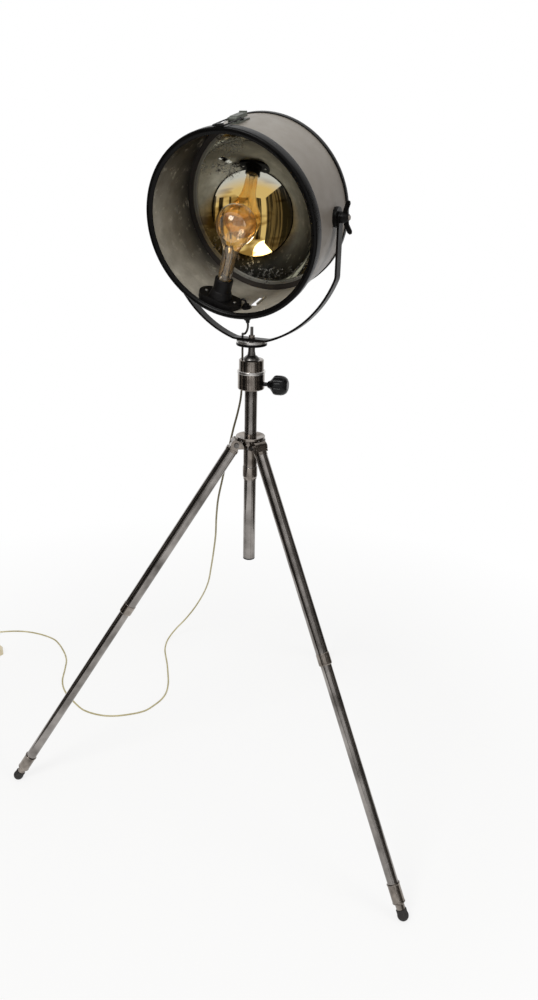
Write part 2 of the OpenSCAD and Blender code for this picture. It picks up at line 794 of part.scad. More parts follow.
module rear_cover() {
    color("dimgray") at_drum() union() {
        ring(cover_r, cover_bore, cover_back, cover_front);
        intersection() {
            translate([0, 0, dome_r - dome_depth]) difference() {
                sphere(dome_r, $fn = 200);
                sphere(dome_r - cover_wall, $fn = 200);
            }
            rod(cover_r, -2 * dome_depth, cover_back - 1.2);
        }
        ring(cover_r, cover_bore - cover_step, cover_back - 2.5, cover_back);
    }
}

module mirror_dish() {
    color("lightsteelblue") at_drum() intersection() {
        translate([0, 0, mirror_centre]) difference() {
            sphere(mirror_curve + mirror_t, $fn = 200);
            sphere(mirror_curve, $fn = 200);
        }
        rod(mirror_curve + 20, -2 * dome_depth, mirror_seat);
    }
}

module mirror_ring() {
    color("dimgray") at_drum() ring(shell_bore - free, mirror_rim_r - 0.5, mirror_seat, mirror_seat + 3);
}

module front_ring() {
    skirt = drum_r + free;
    back = drum_front + free;
    color("dimgray") at_drum() {
        turned([
            [skirt, ring_rear], [ring_r, ring_rear], [ring_r, ring_front - 3.4], [ring_r - 1, ring_front - 1.2],
            [ring_r - 3, ring_front], [mouth_r + 4.5, ring_front], [mouth_r + 2.8, ring_front - 0.7],
            [mouth_r + 2.4, ring_front - 2.2], [mouth_r + 1, ring_front - 2.6], [mouth_r, ring_front - 4],
            [mouth_r, back + 1], [mouth_r + 2.5, back], [skirt, back]
        ]);
        // keeper that the latch pulls on
        difference() {
            outwards(180, 0, 0) block([12, 8.4, 9], [0, keeper_front - 4.2, ring_r]);
            rod(ring_r - 2, 0, 2 * ring_front);
        }
    }
}

module pivot_studs() {
    color("darkgray") at_drum() for (side = [0, 180]) rotate([0, 0, side]) along_x() {
        rod(pivot_stud_r, stud_head_reach - 3, stud_reach);
        rod(pivot_stud_d, stud_head_reach - 3, stud_head_reach);
    }
}

module pivot_spacers() {
    color("dimgray") at_drum() for (side = [0, 180]) rotate([0, 0, side]) along_x() {
        ring(pivot_spacer_d / 2, pivot_stud_r + running, drum_r + face, yoke_half_gap - face);
        ring(10, pivot_stud_r + running, yoke_outer + face, wing_seat - face);
    }
}

module wing_nut(side) {
    color("dimgray") at_drum() rotate([0, 0, side]) along_x() translate([0, 0, wing_seat]) difference() {
        union() {
            turned([[0, 0], [10, 0], [10, 2], [8, 9], [6.5, 11.5], [0, 11.5]]);
            for (wing = [0, 180]) rotate([0, 0, wing + wing_turn]) rotate([90, 0, 0]) translate([0, 0, -1.6])
                linear_extrude(3.2) polygon([[5, 1], [13, 2.4], [27, 8], [30, 12], [28.5, 15.5], [24, 16], [12, 11], [5, 11]]);
        }
        rod(pivot_stud_r + running, -1, 20);
    }
}

// ---------- latch ----------

module latch_base() {
    plate = drum_r + 0.1;
    ear = plate + 1.8;
    color([0.4, 0.42, 0.38]) at_drum() outwards(180, 0, 0) difference() {
        union() {
            block([latch_w, latch_length + 13, 1.8], [0, latch_pivot - 19, plate + 0.9]);
            for (side = [-1, 1])
                block([1.5, 10, latch_rise + 1.6], [side * (latch_w - 1.5) / 2, latch_pivot, ear + latch_rise / 2 + 0.2]);
        }
        translate([0, latch_pivot, drum_r + latch_rise]) along_x() rod(1.55, -latch_w, latch_w);
        for (forward = latch_screws) translate([0, forward, 0]) rod(1.55, drum_r - 5, ear + 5);
    }
}

module latch_lever() {
    half = (latch_w - 3) / 2 - 0.3;
    color([0.4, 0.42, 0.38]) at_drum() outwards(180, latch_pivot, drum_r + latch_rise) difference() {
        union() {
            along_x() rod(3.8, -half, half);
            translate([-half, -latch_length, -2]) cube([2 * half, latch_length, 6.6]);
            translate([-half, -latch_length - 2, -2]) cube([2 * half, 2.4, 8.6]);
            along_x() rod(1.5, -latch_w / 2, latch_w / 2);
        }
        translate([0, -bail_arm, 0]) along_x() rod(bail_r + running, -latch_w, latch_w);
    }
}

module latch_bail() {
    rear = latch_pivot - bail_arm;
    color("dimgray") at_drum() outwards(180, 0, drum_r + latch_rise) union() {
        for (y = [rear, bail_front]) translate([0, y, 0]) along_x() rod(bail_r, -bail_half - bail_r, bail_half + bail_r);
        for (side = [-1, 1]) translate([side * bail_half, 0, 0]) rotate([-90, 0, 0]) rod(bail_r, rear, bail_front);
    }
}

// ---------- lamp holder and bulb ----------

module at_holder() {
    at_drum() inwards(holder_angle, holder_forward, shell_bore) children();
}

module screw_at_holder(side) {
    inwards(holder_angle, holder_forward, shell_bore) translate([side * (holder_base_l / 2 - 12), 0, 0]) children();
}

module holder_base_shape() {
    end_r = holder_base_w / 2 + 4;
    intersection() {
        block([holder_base_l, holder_base_w, 60], [0, 0, holder_flange - 30]);
        union() {
            for (side = [-1, 1])
                translate([side * (holder_base_l / 2 - end_r), 0, 0]) rod(end_r, -30, holder_flange);
            block([holder_base_l - 2 * end_r, 2 * end_r, 60], [0, 0, holder_flange - 30]);
        }
    }
}

module lampholder() {
    barrel = holder_barrel_d / 2;
    color("dimgray") difference() {
        union() {
            intersection() {
                at_drum() rod(shell_bore - free, -drum_back, drum_front);
                at_holder() holder_base_shape();
            }
            at_holder() turned([
                [0, holder_flange - 1], [holder_base_w / 2 - 1, holder_flange - 1], [holder_base_w / 2 - 1.6, holder_flange + 3],
                [barrel + 1.6, holder_shoulder - 1.5], [barrel, holder_shoulder + 1], [barrel, holder_height - 1.2],
                [barrel - 1.2, holder_height], [0, holder_height]
            ]);
        }
        at_holder() {
            rod(socket_r, cap_start - 2, holder_height + 1);
            rod(10, cap_start - 8, cap_start);
            for (side = [-1, 1]) translate([side * (holder_base_l / 2 - 12), 0, 0]) {
                rod(1.6, -20, 40);
                rod(3.6, holder_flange - 1.4, 40);
            }
            // channel of the leads, from the entry beside the gland to the contacts
            translate([0, 0, 10]) rotate([0, 0, atan2(lead_side, lead_entry)]) along_x() rod(3.2, 0, lead_entry);
            translate([lead_entry, lead_side, 0]) rod(cable_r + running, -5, 30);
            rod(4, 10, cap_start - 7);
        }
    }
}

module holder_contacts() {
    color("goldenrod") at_holder() {
        rod(7, cap_start - 8, cap_start - 6.6);
        rod(3, cap_start - 6.6, cap_start - 4.5 - face);
        block([0.8, 5, 7.5], [8.6, 0, cap_start - 8 + 3.75]);
    }
}

module drum_screws() {
    color("silver") at_drum() {
        // holder screws, with their heads in the holder's base
        for (side = [-1, 1]) screw_at_holder(side) {
            rod(1.5, -4, holder_flange - 1.4);
            rod(3.4, holder_flange - 1.4, holder_flange + 0.8);
        }
        // latch screws
        for (forward = latch_screws) outwards(180, forward, 0) {
            rod(1.5, shell_bore - 3, drum_r + 1.9);
            rod(2.8, drum_r + 1.9, drum_r + 2.9);
        }
    }
}

// pear outline from the top of the globe to the neck, which a wide bend joins to the globe
neck_bend_r = 60;
neck_out = neck_r + 0.7;
neck_fall = sqrt(pow(bulb_r + neck_bend_r, 2) - pow(neck_out + neck_bend_r, 2));
neck_turn = asin((neck_out + neck_bend_r) / (bulb_r + neck_bend_r));
function pear(shrink) = concat(
    arc([0, bulb_centre], bulb_r - shrink, 0, 180 - neck_turn, 16),
    arc([neck_out + neck_bend_r, bulb_centre - neck_fall], neck_bend_r + shrink, -neck_turn, -90, 10)
);

module bulb_glass() {
    color([0.85, 0.8, 0.65, 0.5]) at_holder() difference() {
        union() {
            turned(concat(pear(0), [[neck_out, holder_height + 1.5], [neck_r, holder_height + 0.5],
                [neck_r, holder_height - 8], [0, holder_height - 8]]));
        }
        turned(concat(pear(glass_wall), [[neck_out - glass_wall, holder_height + 1.5],
            [neck_r - glass_wall, holder_height + 0.5], [neck_r - glass_wall, holder_height - 9],
            [0, holder_height - 9]]));
    }
}

module bulb_cap() {
    r = cap_d / 2;
    pitch = 3.4;
    base = cap_start + 4;
    top = holder_height - 0.4;
    turns = floor((top - base) / pitch);
    color("silver") at_holder() difference() {
        turned(concat(
            [[0, cap_start - 4.5], [5, cap_start - 4.5], [5, cap_start - 2.5], [9, base - 1.5], [r - 0.9, base]],
            [for (i = [0 : turns - 1], h = [0.25, 0.75]) [h < 0.5 ? r : r - 0.55, base + pitch * (i + h)]],
            [[r, base + pitch * turns], [r, top], [0, top]]
        ));
        rod(neck_r + running, holder_height - 8, holder_height + 5);
    }
}

module bulb_filament() {
    stem_top = bulb_centre - 45;
    color("darkkhaki") at_holder() union() {
        turned([
            [0, holder_height - 8], [9, holder_height - 8], [7, holder_height + 6], [3.6, holder_height + 24],
            [3, stem_top], [4.4, stem_top + 3], [3.4, stem_top + 6], [0, stem_top + 7]
        ]);
        // supports and the filament they hold
        for (side = [-1, 1]) translate([0, 0, stem_top + 3]) rotate([0, side * 24, 0]) rod(0.5, 0, 32);
        translate([0, 0, stem_top + 3 + 28]) along_x() rod(0.7, -13, 13);
    }
}

// ---------- cable ----------

module cable_gland() {
    color("dimgray") at_drum() outwards(gland_angle, gland_forward, drum_r) difference() {
        union() {
            translate([0, 0, 0.05]) cylinder(r = 8, h = gland_nut_t, $fn = 6);
            turned([
                [0, gland_nut_t], [8.2, gland_nut_t], [8.2, 16], [6.5, 20], [4.2, 21.5], [3.6, gland_length],
                [0, gland_length]
            ]);
            rod(6, -10, 1);
        }
        rod(gland_bore, -20, gland_length + 1);
    }
    color("dimgray") at_drum() outwards(gland_angle, gland_forward, drum_r)
        ring(gland_ring_r, 6 + running, -drum_wall - 4.5, -drum_wall - 0.35);
}

module inner_leads() {
    // jacket through the gland, then a bend over to the holder's base
    bend = [for (a = [20 : 20 : 140]) lead_bend * [cos(a) - 1, 0, sin(a)]];
    top = lead_bend * [cos(lead_turn) - 1, 0, sin(lead_turn)];
    down = [-sin(lead_turn), 0, cos(lead_turn)];
    start = face - lead_rise - gland_length;
    route = concat([[0, 0, start], [0, 0, -lead_rise], [0, 0, 0]], bend, [top, top + 9 * down]);
    color("dimgray") at_drum() inwards(gland_angle, gland_forward, drum_r - lead_rise)
        cable_run(route, [0, 0, 1], down, cable_r - 0.02);
}

// Sides of the swept cable
cable_sides = 8;

function unit(v) = v / norm(v);
function run_direction(path, i) =
    unit(path[min(i + 1, len(path) - 1)] - path[max(i - 1, 0)]);
function cable_ring(path, i, first, last, corner_r) =
    let (d = i == 0 ? first : i == len(path) - 1 ? last : run_direction(path, i),
         side = unit(cross(d, abs(d[2]) > 0.8 ? [1, 0, 0] : [0, 0, 1])), up = cross(side, d))
    [for (k = [0 : cable_sides - 1]) let (a = 360 * (k + 0.5) / cable_sides)
        path[i] + corner_r * (cos(a) * side + sin(a) * up)];

module cable_run(path, first, last, corner_r) {
    rings = len(path);
    points = [for (i = [0 : rings - 1]) each cable_ring(path, i, first, last, corner_r)];
    sides = [for (i = [0 : rings - 2], k = [0 : cable_sides - 1])
        let (a = i * cable_sides + k, b = i * cable_sides + (k + 1) % cable_sides)
        each [[a, b, b + cable_sides], [a, b + cable_sides, a + cable_sides]]];
    start = [for (k = [1 : cable_sides - 2]) [0, k + 1, k]];
    final = (rings - 1) * cable_sides;
    end = [for (k = [1 : cable_sides - 2]) [final, final + k, final + k + 1]];
    polyhedron(points, concat(sides, start, end), convexity = 10);
}

hang_end = hang_route[len(hang_route) - 1];
join_direction = unit([1, -20, 0]);
plug_side = [-sin(plug_turn), cos(plug_turn)];
relief_end = plug_centre + (plug_half + relief_length) * plug_side;

module cord_hang() {
    color("darkkhaki") at_column()
        cable_run(concat([cable_exit], hang_route), gland_out, join_direction, cable_corner_r);
}

module cord_floor() {
    route = concat([hang_end], [for (p = floor_route) [p[0], p[1], cable_r]],
        [[relief_end[0], relief_end[1], cable_r + 1]]);
    color("wheat") at_column()
        cable_run(route, join_direction, [-plug_side[0], -plug_side[1], 0], cable_corner_r);
}

module plug() {
    color("wheat") at_column() translate([plug_centre[0], plug_centre[1], 0]) rotate([0, 0, plug_turn]) union() {
        intersection() {
            block([2 * plug_half, 2 * plug_half, plug_t], [0, 0, plug_t / 2]);
            rod(plug_half + 4.5, 0, plug_t);
        }
        // strain relief
        translate([0, 0, cable_r + 1]) rotate([-90, 0, 0]) turned([
            [0, plug_half - 1], [3, plug_half - 1], [3, plug_half + relief_length / 2],
            [2.4, plug_half + relief_length], [0, plug_half + relief_length]
        ]);
        // pins, on the side that faces away from the view
        for (side = [-1, 1]) translate([0, 9.5 * side, plug_t / 2]) rotate([0, -90, 0]) rod(2.4, plug_half - 1, plug_half + 19);
    }
}

leg_head(0);  // leg_head_right
leg_head(1);  // leg_head_left
leg_head(2);  // leg_head_rear
leg_upper(0);  // leg_upper_right
leg_upper(1);  // leg_upper_left
leg_upper(2);  // leg_upper_rear
leg_collar(0);  // leg_collar_right
leg_collar(1);  // leg_collar_left
leg_collar(2);  // leg_collar_rear
leg_lower(0);  // leg_lower_right
leg_lower(1);  // leg_lower_left
leg_lower(2);  // leg_lower_rear
foot_ferrule(0);  // foot_ferrule_right
foot_ferrule(1);  // foot_ferrule_left
foot_ferrule(2);  // foot_ferrule_rear
foot_tip(0);  // foot_tip_right
foot_tip(1);  // foot_tip_left
foot_tip(2);  // foot_tip_rear
shoulder_hub();
leg_brackets();
hinge_bolts();
hub_screws();
clamp_collet();
column_nut();
column_tube();
column_plugs();
head_lower_housing();
head_collar();
head_upper_housing();
ball_cup();
lock_knob();
ball_stem();
platform_disc();
platform_pad();
yoke_stud();
yoke_nut();
yoke();
drum_shell();
rear_cover();
mirror_dish();  // mirror
mirror_ring();
front_ring();
pivot_studs();
pivot_spacers();
wing_nut(0);  // wing_nut_right
wing_nut(180);  // wing_nut_left
latch_base();
latch_lever();
latch_bail();
lampholder();
holder_contacts();
drum_screws();
bulb_glass();
bulb_cap();
bulb_filament();
cable_gland();
inner_leads();
cord_hang();
cord_floor();
plug();
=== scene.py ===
# %% [markdown]
# # Dressing a tripod spotlight
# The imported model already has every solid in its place: drum, yoke, ball head and folding tripod.
# This lesson gives it its looks. Lengths are metres, +Z is up, and the origin is on the floor in the
# middle of the model's footprint. Each step first says what the real piece is, and then makes it.

# %% Load the solids
import json
import math
import bmesh
import bpy
from mathutils import Matrix, Vector

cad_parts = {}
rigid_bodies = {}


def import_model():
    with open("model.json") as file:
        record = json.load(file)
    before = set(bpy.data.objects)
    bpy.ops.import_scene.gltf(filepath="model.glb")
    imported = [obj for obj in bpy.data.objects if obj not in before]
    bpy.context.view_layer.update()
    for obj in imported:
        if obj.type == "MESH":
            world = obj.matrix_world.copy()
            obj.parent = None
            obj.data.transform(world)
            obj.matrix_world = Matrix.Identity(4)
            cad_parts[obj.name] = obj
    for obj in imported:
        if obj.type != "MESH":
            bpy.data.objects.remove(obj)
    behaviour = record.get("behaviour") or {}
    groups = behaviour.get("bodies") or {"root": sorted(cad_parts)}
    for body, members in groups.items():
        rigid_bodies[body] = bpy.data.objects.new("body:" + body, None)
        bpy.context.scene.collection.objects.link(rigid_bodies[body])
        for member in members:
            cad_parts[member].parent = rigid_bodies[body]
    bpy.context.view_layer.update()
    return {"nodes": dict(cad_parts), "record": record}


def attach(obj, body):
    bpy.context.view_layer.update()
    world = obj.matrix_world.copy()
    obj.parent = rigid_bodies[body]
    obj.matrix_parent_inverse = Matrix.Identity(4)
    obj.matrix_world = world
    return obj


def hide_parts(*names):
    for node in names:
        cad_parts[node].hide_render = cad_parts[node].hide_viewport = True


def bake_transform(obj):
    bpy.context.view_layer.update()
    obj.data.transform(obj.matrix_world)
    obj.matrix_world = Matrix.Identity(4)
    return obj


for leftover in list(bpy.data.objects):
    bpy.data.objects.remove(leftover)
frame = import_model()

# %% [markdown]
# ## The camera
# The photographer stood about 1.6 m in front of the lamp with the camera at head height and tipped
# down by 22 degrees. A tall picture holds the whole tripod, so the sensor's width goes with the
# picture's long side. The matrix is built from the three directions right, up and backwards.

# %% Camera at the photographer's place
column = Vector((0.111338, -0.022961, 0))  # where the column stands in the frame
yaw, pitch, roll = (math.radians(a) for a in (1.44, 22.0, 1.3))
forward = Vector((math.sin(yaw) * math.cos(pitch), math.cos(yaw) * math.cos(pitch), -math.sin(pitch)))
level = Vector((math.cos(yaw), -math.sin(yaw), 0))
upright = level.cross(forward)
picture_right = level * math.cos(roll) + upright * math.sin(roll)
picture_up = upright * math.cos(roll) - level * math.sin(roll)
lens = bpy.data.cameras.new("portrait_lens")
lens.sensor_width = 36
lens.lens = 29.94
camera = bpy.data.objects.new("portrait_camera", lens)
bpy.context.scene.collection.objects.link(camera)
camera.matrix_world = Matrix.Translation(column + Vector((0, -1.5986, 1.3302))) @ Matrix(
    (picture_right, picture_up, -forward)).transposed().to_4x4()
bpy.context.scene.camera = camera
print("camera looks along", tuple(round(v, 3) for v in forward))

# %% [markdown]
# ## The drum's own directions
# The drum is turned by the yoke and tipped by its pivots. Many pieces and patterns are easier to
# make in its frame: x along the pivots, y up, z towards the mouth. This matrix carries them over.

# %% Where the drum is
head_turn, drum_tip = math.radians(-25.2), math.radians(12.3)
pivot_height = 1.24655
across = Vector((math.cos(head_turn), math.sin(head_turn), 0))
level_mouth = Vector((math.sin(head_turn), -math.cos(head_turn), 0))
mouth = level_mouth * math.cos(drum_tip) - Vector((0, 0, math.sin(drum_tip)))
crown = mouth.cross(across)
drum_middle = column + Vector((0, 0, pivot_height))
drum_place = Matrix.Translation(drum_middle) @ Matrix((across, crown, mouth)).transposed().to_4x4()


def on_wall(angle, ahead, radius):
    """Place on the drum's wall: angle from the bottom to the viewer's right; local Z points to the axis."""
    turn = Matrix.Rotation(math.radians(angle), 4, "Z")
    return drum_place @ turn @ Matrix.Translation((0, -radius, ahead)) @ Matrix.Rotation(-math.pi / 2, 4, "X")


print("drum's middle:", tuple(round(v, 4) for v in drum_middle))

# %% [markdown]
# ## The mains cable
# A slim round cable leaves the gland under the drum, lies over the yoke's strap, drops behind the
# head and the shoulder, and curls over the floor to a plug. It is about two and a half metres long.
# One smooth curve is drawn through listed points and swept into a tube. It crosses five
# joints, so it is cut into stretches there. The stretch on the floor is attached to the shoulder's
# body; the others stay fixed where they are drawn.

# %% The cable's route
def smooth_route(points, step=0.004):
    """Points about one step apart on a smooth curve through the given ones."""
    pts = [Vector(p) for p in points]
    pts = [2 * pts[0] - pts[1]] + pts + [2 * pts[-1] - pts[-2]]
    route = []
    for a, b, c, d in zip(pts, pts[1:], pts[2:], pts[3:]):
        ta = max((b - a).length, 1e-6) ** 0.5
        tb = max((c - b).length, 1e-6) ** 0.5
        tc = max((d - c).length, 1e-6) ** 0.5
        start = ((b - a) / ta - (c - a) / (ta + tb) + (c - b) / tb) * tb
        end = ((c - b) / tb - (d - b) / (tb + tc) + (d - c) / tc) * tb
        count = max(1, round((c - b).length / step))
        for i in range(count):
            t = i / count
            route.append(b * (2 * t**3 - 3 * t**2 + 1) + start * (t**3 - 2 * t**2 + t)
                         + c * (3 * t**2 - 2 * t**3) + end * (t**3 - t**2))
    return route + [pts[-2]]


gland_exit = on_wall(0.5405, 0.063, 0.185).to_translation()
hanging = [
    (-7.6, -18.6, 1043.5), (-10, -14, 1034.5), (-13.5, -5, 1028.5), (-16.5, 6, 1026.2), (-18, 18, 1024),
    (-18, 28, 1018.5), (-18, 31, 1010), (-18, 31, 990), (-18, 30, 970), (-19, 28, 940),
    (-19, 27, 912), (-21, 27, 890), (-27, 29, 860), (-35, 30, 828), (-45, 36, 780),
    (-58, 55, 710), (-68, 80, 655), (-74, 122, 595), (-79, 190, 517), (-87, 260, 442),
    (-97, 340, 360), (-110, 430, 267), (-125, 484, 205), (-145, 530, 147), (-166, 562, 99),
    (-192, 580, 56), (-213, 582, 31), (-229, 573, 14), (-240, 552, 4.5), (-243, 520, 2.1)]
on_floor = [
    (-242, 500), (-238, 476), (-229, 430), (-221, 374), (-217, 338), (-217, 303), (-221, 278),
    (-231, 254), (-246, 232), (-262, 213), (-281, 202), (-302, 195), (-334, 188), (-366, 188),
    (-398, 197), (-427, 213), (-446, 233), (-466, 258), (-484, 283), (-499, 313), (-508, 346),
    (-512, 394), (-517, 441), (-526, 470), (-541, 502), (-556, 528), (-575, 553), (-600, 571),
    (-628, 585), (-658, 595), (-690, 600), (-720, 599), (-750, 594), (-775, 587), (-795, 575),
    (-804, 558), (-801, 540), (-788, 527), (-770, 517)]
relief_end = (-729 - 43 * math.sin(math.radians(45)), 476 + 43 * math.cos(math.radians(45)), 3.1)
from_column = hanging + [(x, y, 2.1) for x, y in on_floor] + [relief_end]
corners = [gland_exit] + [column + Vector(p) / 1000 for p in from_column]
cable_route = smooth_route(corners)
cable_length = sum((b - a).length for a, b in zip(cable_route, cable_route[1:]))
print(f"cable: {cable_length:.3f} m in {len(cable_route)} points")

# %% A tube round a route
def tube(name, route, radius, sides=12, start=0.0):
    """A closed round tube with a UV map: u round the tube, v along it in metres."""
    mesh = bpy.data.meshes.new(name)
    bm = bmesh.new()
    uv = bm.loops.layers.uv.new("run")
    side = Vector((1, 0, 0))
    rings, along, run = [], [], start
    for i, point in enumerate(route):
        heading = (route[min(i + 1, len(route) - 1)] - route[max(i - 1, 0)]).normalized()
        side = (side - side.dot(heading) * heading).normalized()
        other = heading.cross(side)
        turns = [2 * math.pi * k / sides for k in range(sides)]
        rings.append([bm.verts.new(point + radius * (math.cos(a) * side + math.sin(a) * other)) for a in turns])
        run += (point - route[i - 1]).length if i else 0
        along.append(run)
    for i in range(len(rings) - 1):
        for k in range(sides):
            n = (k + 1) % sides
            face = bm.faces.new((rings[i][k], rings[i][n], rings[i + 1][n], rings[i + 1][k]))
            face.smooth = True
            spots = ((k, i), (k + 1, i), (k + 1, i + 1), (k, i + 1))
            for loop, (u, v) in zip(face.loops, spots):
                loop[uv].uv = (u / sides, along[v])
    bm.faces.new(list(reversed(rings[0])))
    bm.faces.new(rings[-1])
    bm.to_mesh(mesh)
    bm.free()
    piece = bpy.data.objects.new(name, mesh)
    bpy.context.scene.collection.objects.link(piece)
    return piece


def nearest(point):
    return min(range(len(cable_route)), key=lambda i: (cable_route[i] - column - Vector(point)).length)


cable_radius = 0.0021
handovers = [(-0.018, 0.020, 1.0235), (-0.018, 0.031, 0.994), (-0.018, 0.0296, 0.960),
             (-0.019, 0.027, 0.905), (-0.243, 0.520, cable_radius)]
cuts = [0] + [nearest(p) for p in handovers] + [len(cable_route) - 1]
stretches = [
    ("cable_at_gland", ("drum", "yoke")), ("cable_over_strap", ("yoke", "ball")),
    ("cable_behind_ball", ("ball", "head_pan")), ("cable_behind_head", ("head_pan", "column")),
    ("cable_hanging", ("column", "shoulder")), ("cable_on_floor", None)]
cable_pieces, run = [], 0.0
for (name, pair), first, last in zip(stretches, cuts, cuts[1:]):
    stretch = cable_route[first:last + 1]
    length = sum((b - a).length for a, b in zip(stretch, stretch[1:]))
    piece = tube(name, stretch, cable_radius, start=run)
    end = column + Vector((-0.068, 0.080, 0.655)) if name == "cable_hanging" else stretch[-1]
    if pair:
        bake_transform(piece)
    else:
        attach(piece, "shoulder")
    cable_pieces.append(piece)
    run += length
    print(f"{name}: {length * 1000:.0f} mm")
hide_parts("cord_hang")
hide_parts("cord_floor")

# %% [markdown]
# ## Tools for finishes
# Every finish is built from a few nodes: a colour that drifts a little over the surface, a gloss
# that isn't even, and a fine relief. Colours are written as a paint maker writes them, in 0 to 255,
# and turned into linear light.

# %% Small helpers for materials
def paint(r, g, b):
    def one(c):
        c /= 255
        return c / 12.92 if c <= 0.04045 else ((c + 0.055) / 1.055) ** 2.4
    return (one(r), one(g), one(b), 1.0)


class Finish:
    """A material under construction, with short ways to add nodes."""

    def __init__(self, name):
        self.material = bpy.data.materials.new(name)
        self.material.use_nodes = True
        self.tree = self.material.node_tree
        self.shader = self.tree.nodes["Principled BSDF"]
        self.place = self.add("ShaderNodeTexCoord").outputs["Object"]

    def add(self, kind, **values):
        node = self.tree.nodes.new(kind)
        for key, value in values.items():
            if hasattr(node, key):
                setattr(node, key, value)
            else:
                self.feed(node.inputs[key.replace("_", " ")], value)
        return node

    def feed(self, socket, value):
        if isinstance(value, bpy.types.NodeSocket):
            self.tree.links.new(value, socket)
        else:
            socket.default_value = value

    def sized(self, scale, spot=(0, 0, 0), turn=(0, 0, 0), source=None):
        node = self.add("ShaderNodeMapping")
        self.feed(node.inputs["Vector"], source or self.place)
        node.inputs["Location"].default_value = spot
        node.inputs["Rotation"].default_value = turn
        node.inputs["Scale"].default_value = scale
        return node.outputs["Vector"]

    def noise(self, scale, detail=3.0, rough=0.55, source=None):
        node = self.add("ShaderNodeTexNoise", Scale=scale, Detail=detail, Roughness=rough)
        self.feed(node.inputs["Vector"], source or self.place)
        return node.outputs["Fac"]

    def span(self, value, low, high, to_low=0.0, to_high=1.0):
        node = self.add("ShaderNodeMapRange", clamp=True)
        for socket, v in zip(node.inputs, (value, low, high, to_low, to_high)):
            self.feed(socket, v)
        return node.outputs["Result"]

    def maths(self, operation, a, b=0.0):
        node = self.add("ShaderNodeMath", operation=operation)
        self.feed(node.inputs[0], a)
        self.feed(node.inputs[1], b)
        return node.outputs[0]

    def reach(self, a, b):
        """Length of the flat vector (a, b)."""
        return self.maths("SQRT", self.maths("ADD", self.maths("MULTIPLY", a, a), self.maths("MULTIPLY", b, b)))

    def blend(self, amount, a, b):
        node = self.add("ShaderNodeMix", data_type="RGBA")
        self.feed(node.inputs[0], amount)
        self.feed(node.inputs[6], a)
        self.feed(node.inputs[7], b)
        return node.outputs[2]

    def relief(self, height, strength, depth=0.0005):
        node = self.add("ShaderNodeBump", Strength=strength, Distance=depth)
        self.feed(node.inputs["Height"], height)
        self.feed(self.shader.inputs["Normal"], node.outputs["Normal"])

    def set(self, **values):
        for key, value in values.items():
            self.feed(self.shader.inputs[key.replace("_", " ")], value)
        return self


def metal(name, light, dark, low_rough, high_rough, patches=18, grain=900, strength=0.05, stretch=(1, 1, 1)):
    """Plated or bare metal: two tones in patches, uneven gloss and a very fine grain."""
    f = Finish(name)
    patch = f.noise(patches, 4)
    fine = f.noise(grain, 2, source=f.sized(stretch))
    speck = f.span(f.noise(140, 6, 0.7), 0.62, 0.72)
    tone = f.blend(f.span(patch, 0.35, 0.7), light, dark)
    f.set(Metallic=1.0, Base_Color=f.blend(f.maths("MULTIPLY", speck, 0.5), tone, dark))
    uneven = f.maths("ADD", patch, f.maths("MULTIPLY", fine, 0.3))
    f.feed(f.shader.inputs["Roughness"], f.span(uneven, 0.4, 0.95, low_rough, high_rough))
    f.relief(fine, strength, 0.0002)
    return f.material


def coated(name, colour, worn, low_rough, high_rough, wear=0.66, patches=30, grain=700, strength=0.12, sheen=0.5):
    """Paint, plastic or rubber: one colour with dusty or rubbed places and a fine skin."""
    f = Finish(name)
    patch = f.noise(patches, 5, 0.6)
    fine = f.noise(grain, 3)
    scuff = f.span(f.noise(90, 8, 0.7), wear, wear + 0.12)
    tone = f.blend(f.span(patch, 0.3, 0.8, 0.0, 0.35), colour, worn)
    f.set(Base_Color=f.blend(f.maths("MULTIPLY", scuff, f.span(patch, 0.4, 0.6)), tone, worn))
    f.feed(f.shader.inputs["Roughness"], f.span(patch, 0.3, 0.75, low_rough, high_rough))
    f.shader.inputs["Specular IOR Level"].default_value = sheen
    f.relief(fine, strength, 0.0002)
    return f.material


print("helpers for finishes are ready")

# %% [markdown]
# ## Metals
# The tubes and the head are chrome on steel and brass. It is decades old, so it has thin grey
# patches and pin-prick pits. Noise of two sizes is enough: a large one for the patches, a small one
# for the pits, and both also change the gloss.

# %% Chrome, steel, aluminium and brass
chrome = metal("old_chrome", paint(158, 153, 149), paint(96, 92, 88), 0.05, 0.17)
head_chrome = metal("head_chrome", paint(158, 150, 142), paint(90, 83, 77), 0.07, 0.22, patches=40)
steel = metal("dark_steel", paint(122, 119, 116), paint(70, 68, 66), 0.22, 0.45, patches=60)
bright_alloy = metal("bright_alloy", paint(225, 222, 218), paint(170, 168, 164), 0.2, 0.42, patches=50)
brass = metal("contact_brass", paint(205, 170, 95), paint(130, 96, 45), 0.25, 0.5, patches=80)
cap_metal = metal("cap_metal", paint(214, 200, 168), paint(150, 132, 98), 0.22, 0.5, patches=90)
wire = metal("filament_wire", paint(190, 170, 130), paint(90, 70, 50), 0.3, 0.5, patches=120)

# %% [markdown]
# ## Black finishes
# Ring, cover, yoke and wing nuts are black paint, glossy where hands haven't rubbed it. The lamp holder is
# pressed black resin, the knob is moulded plastic, and the feet are rubber. They differ in gloss
# and in the colour that shows where they are worn or dusty.

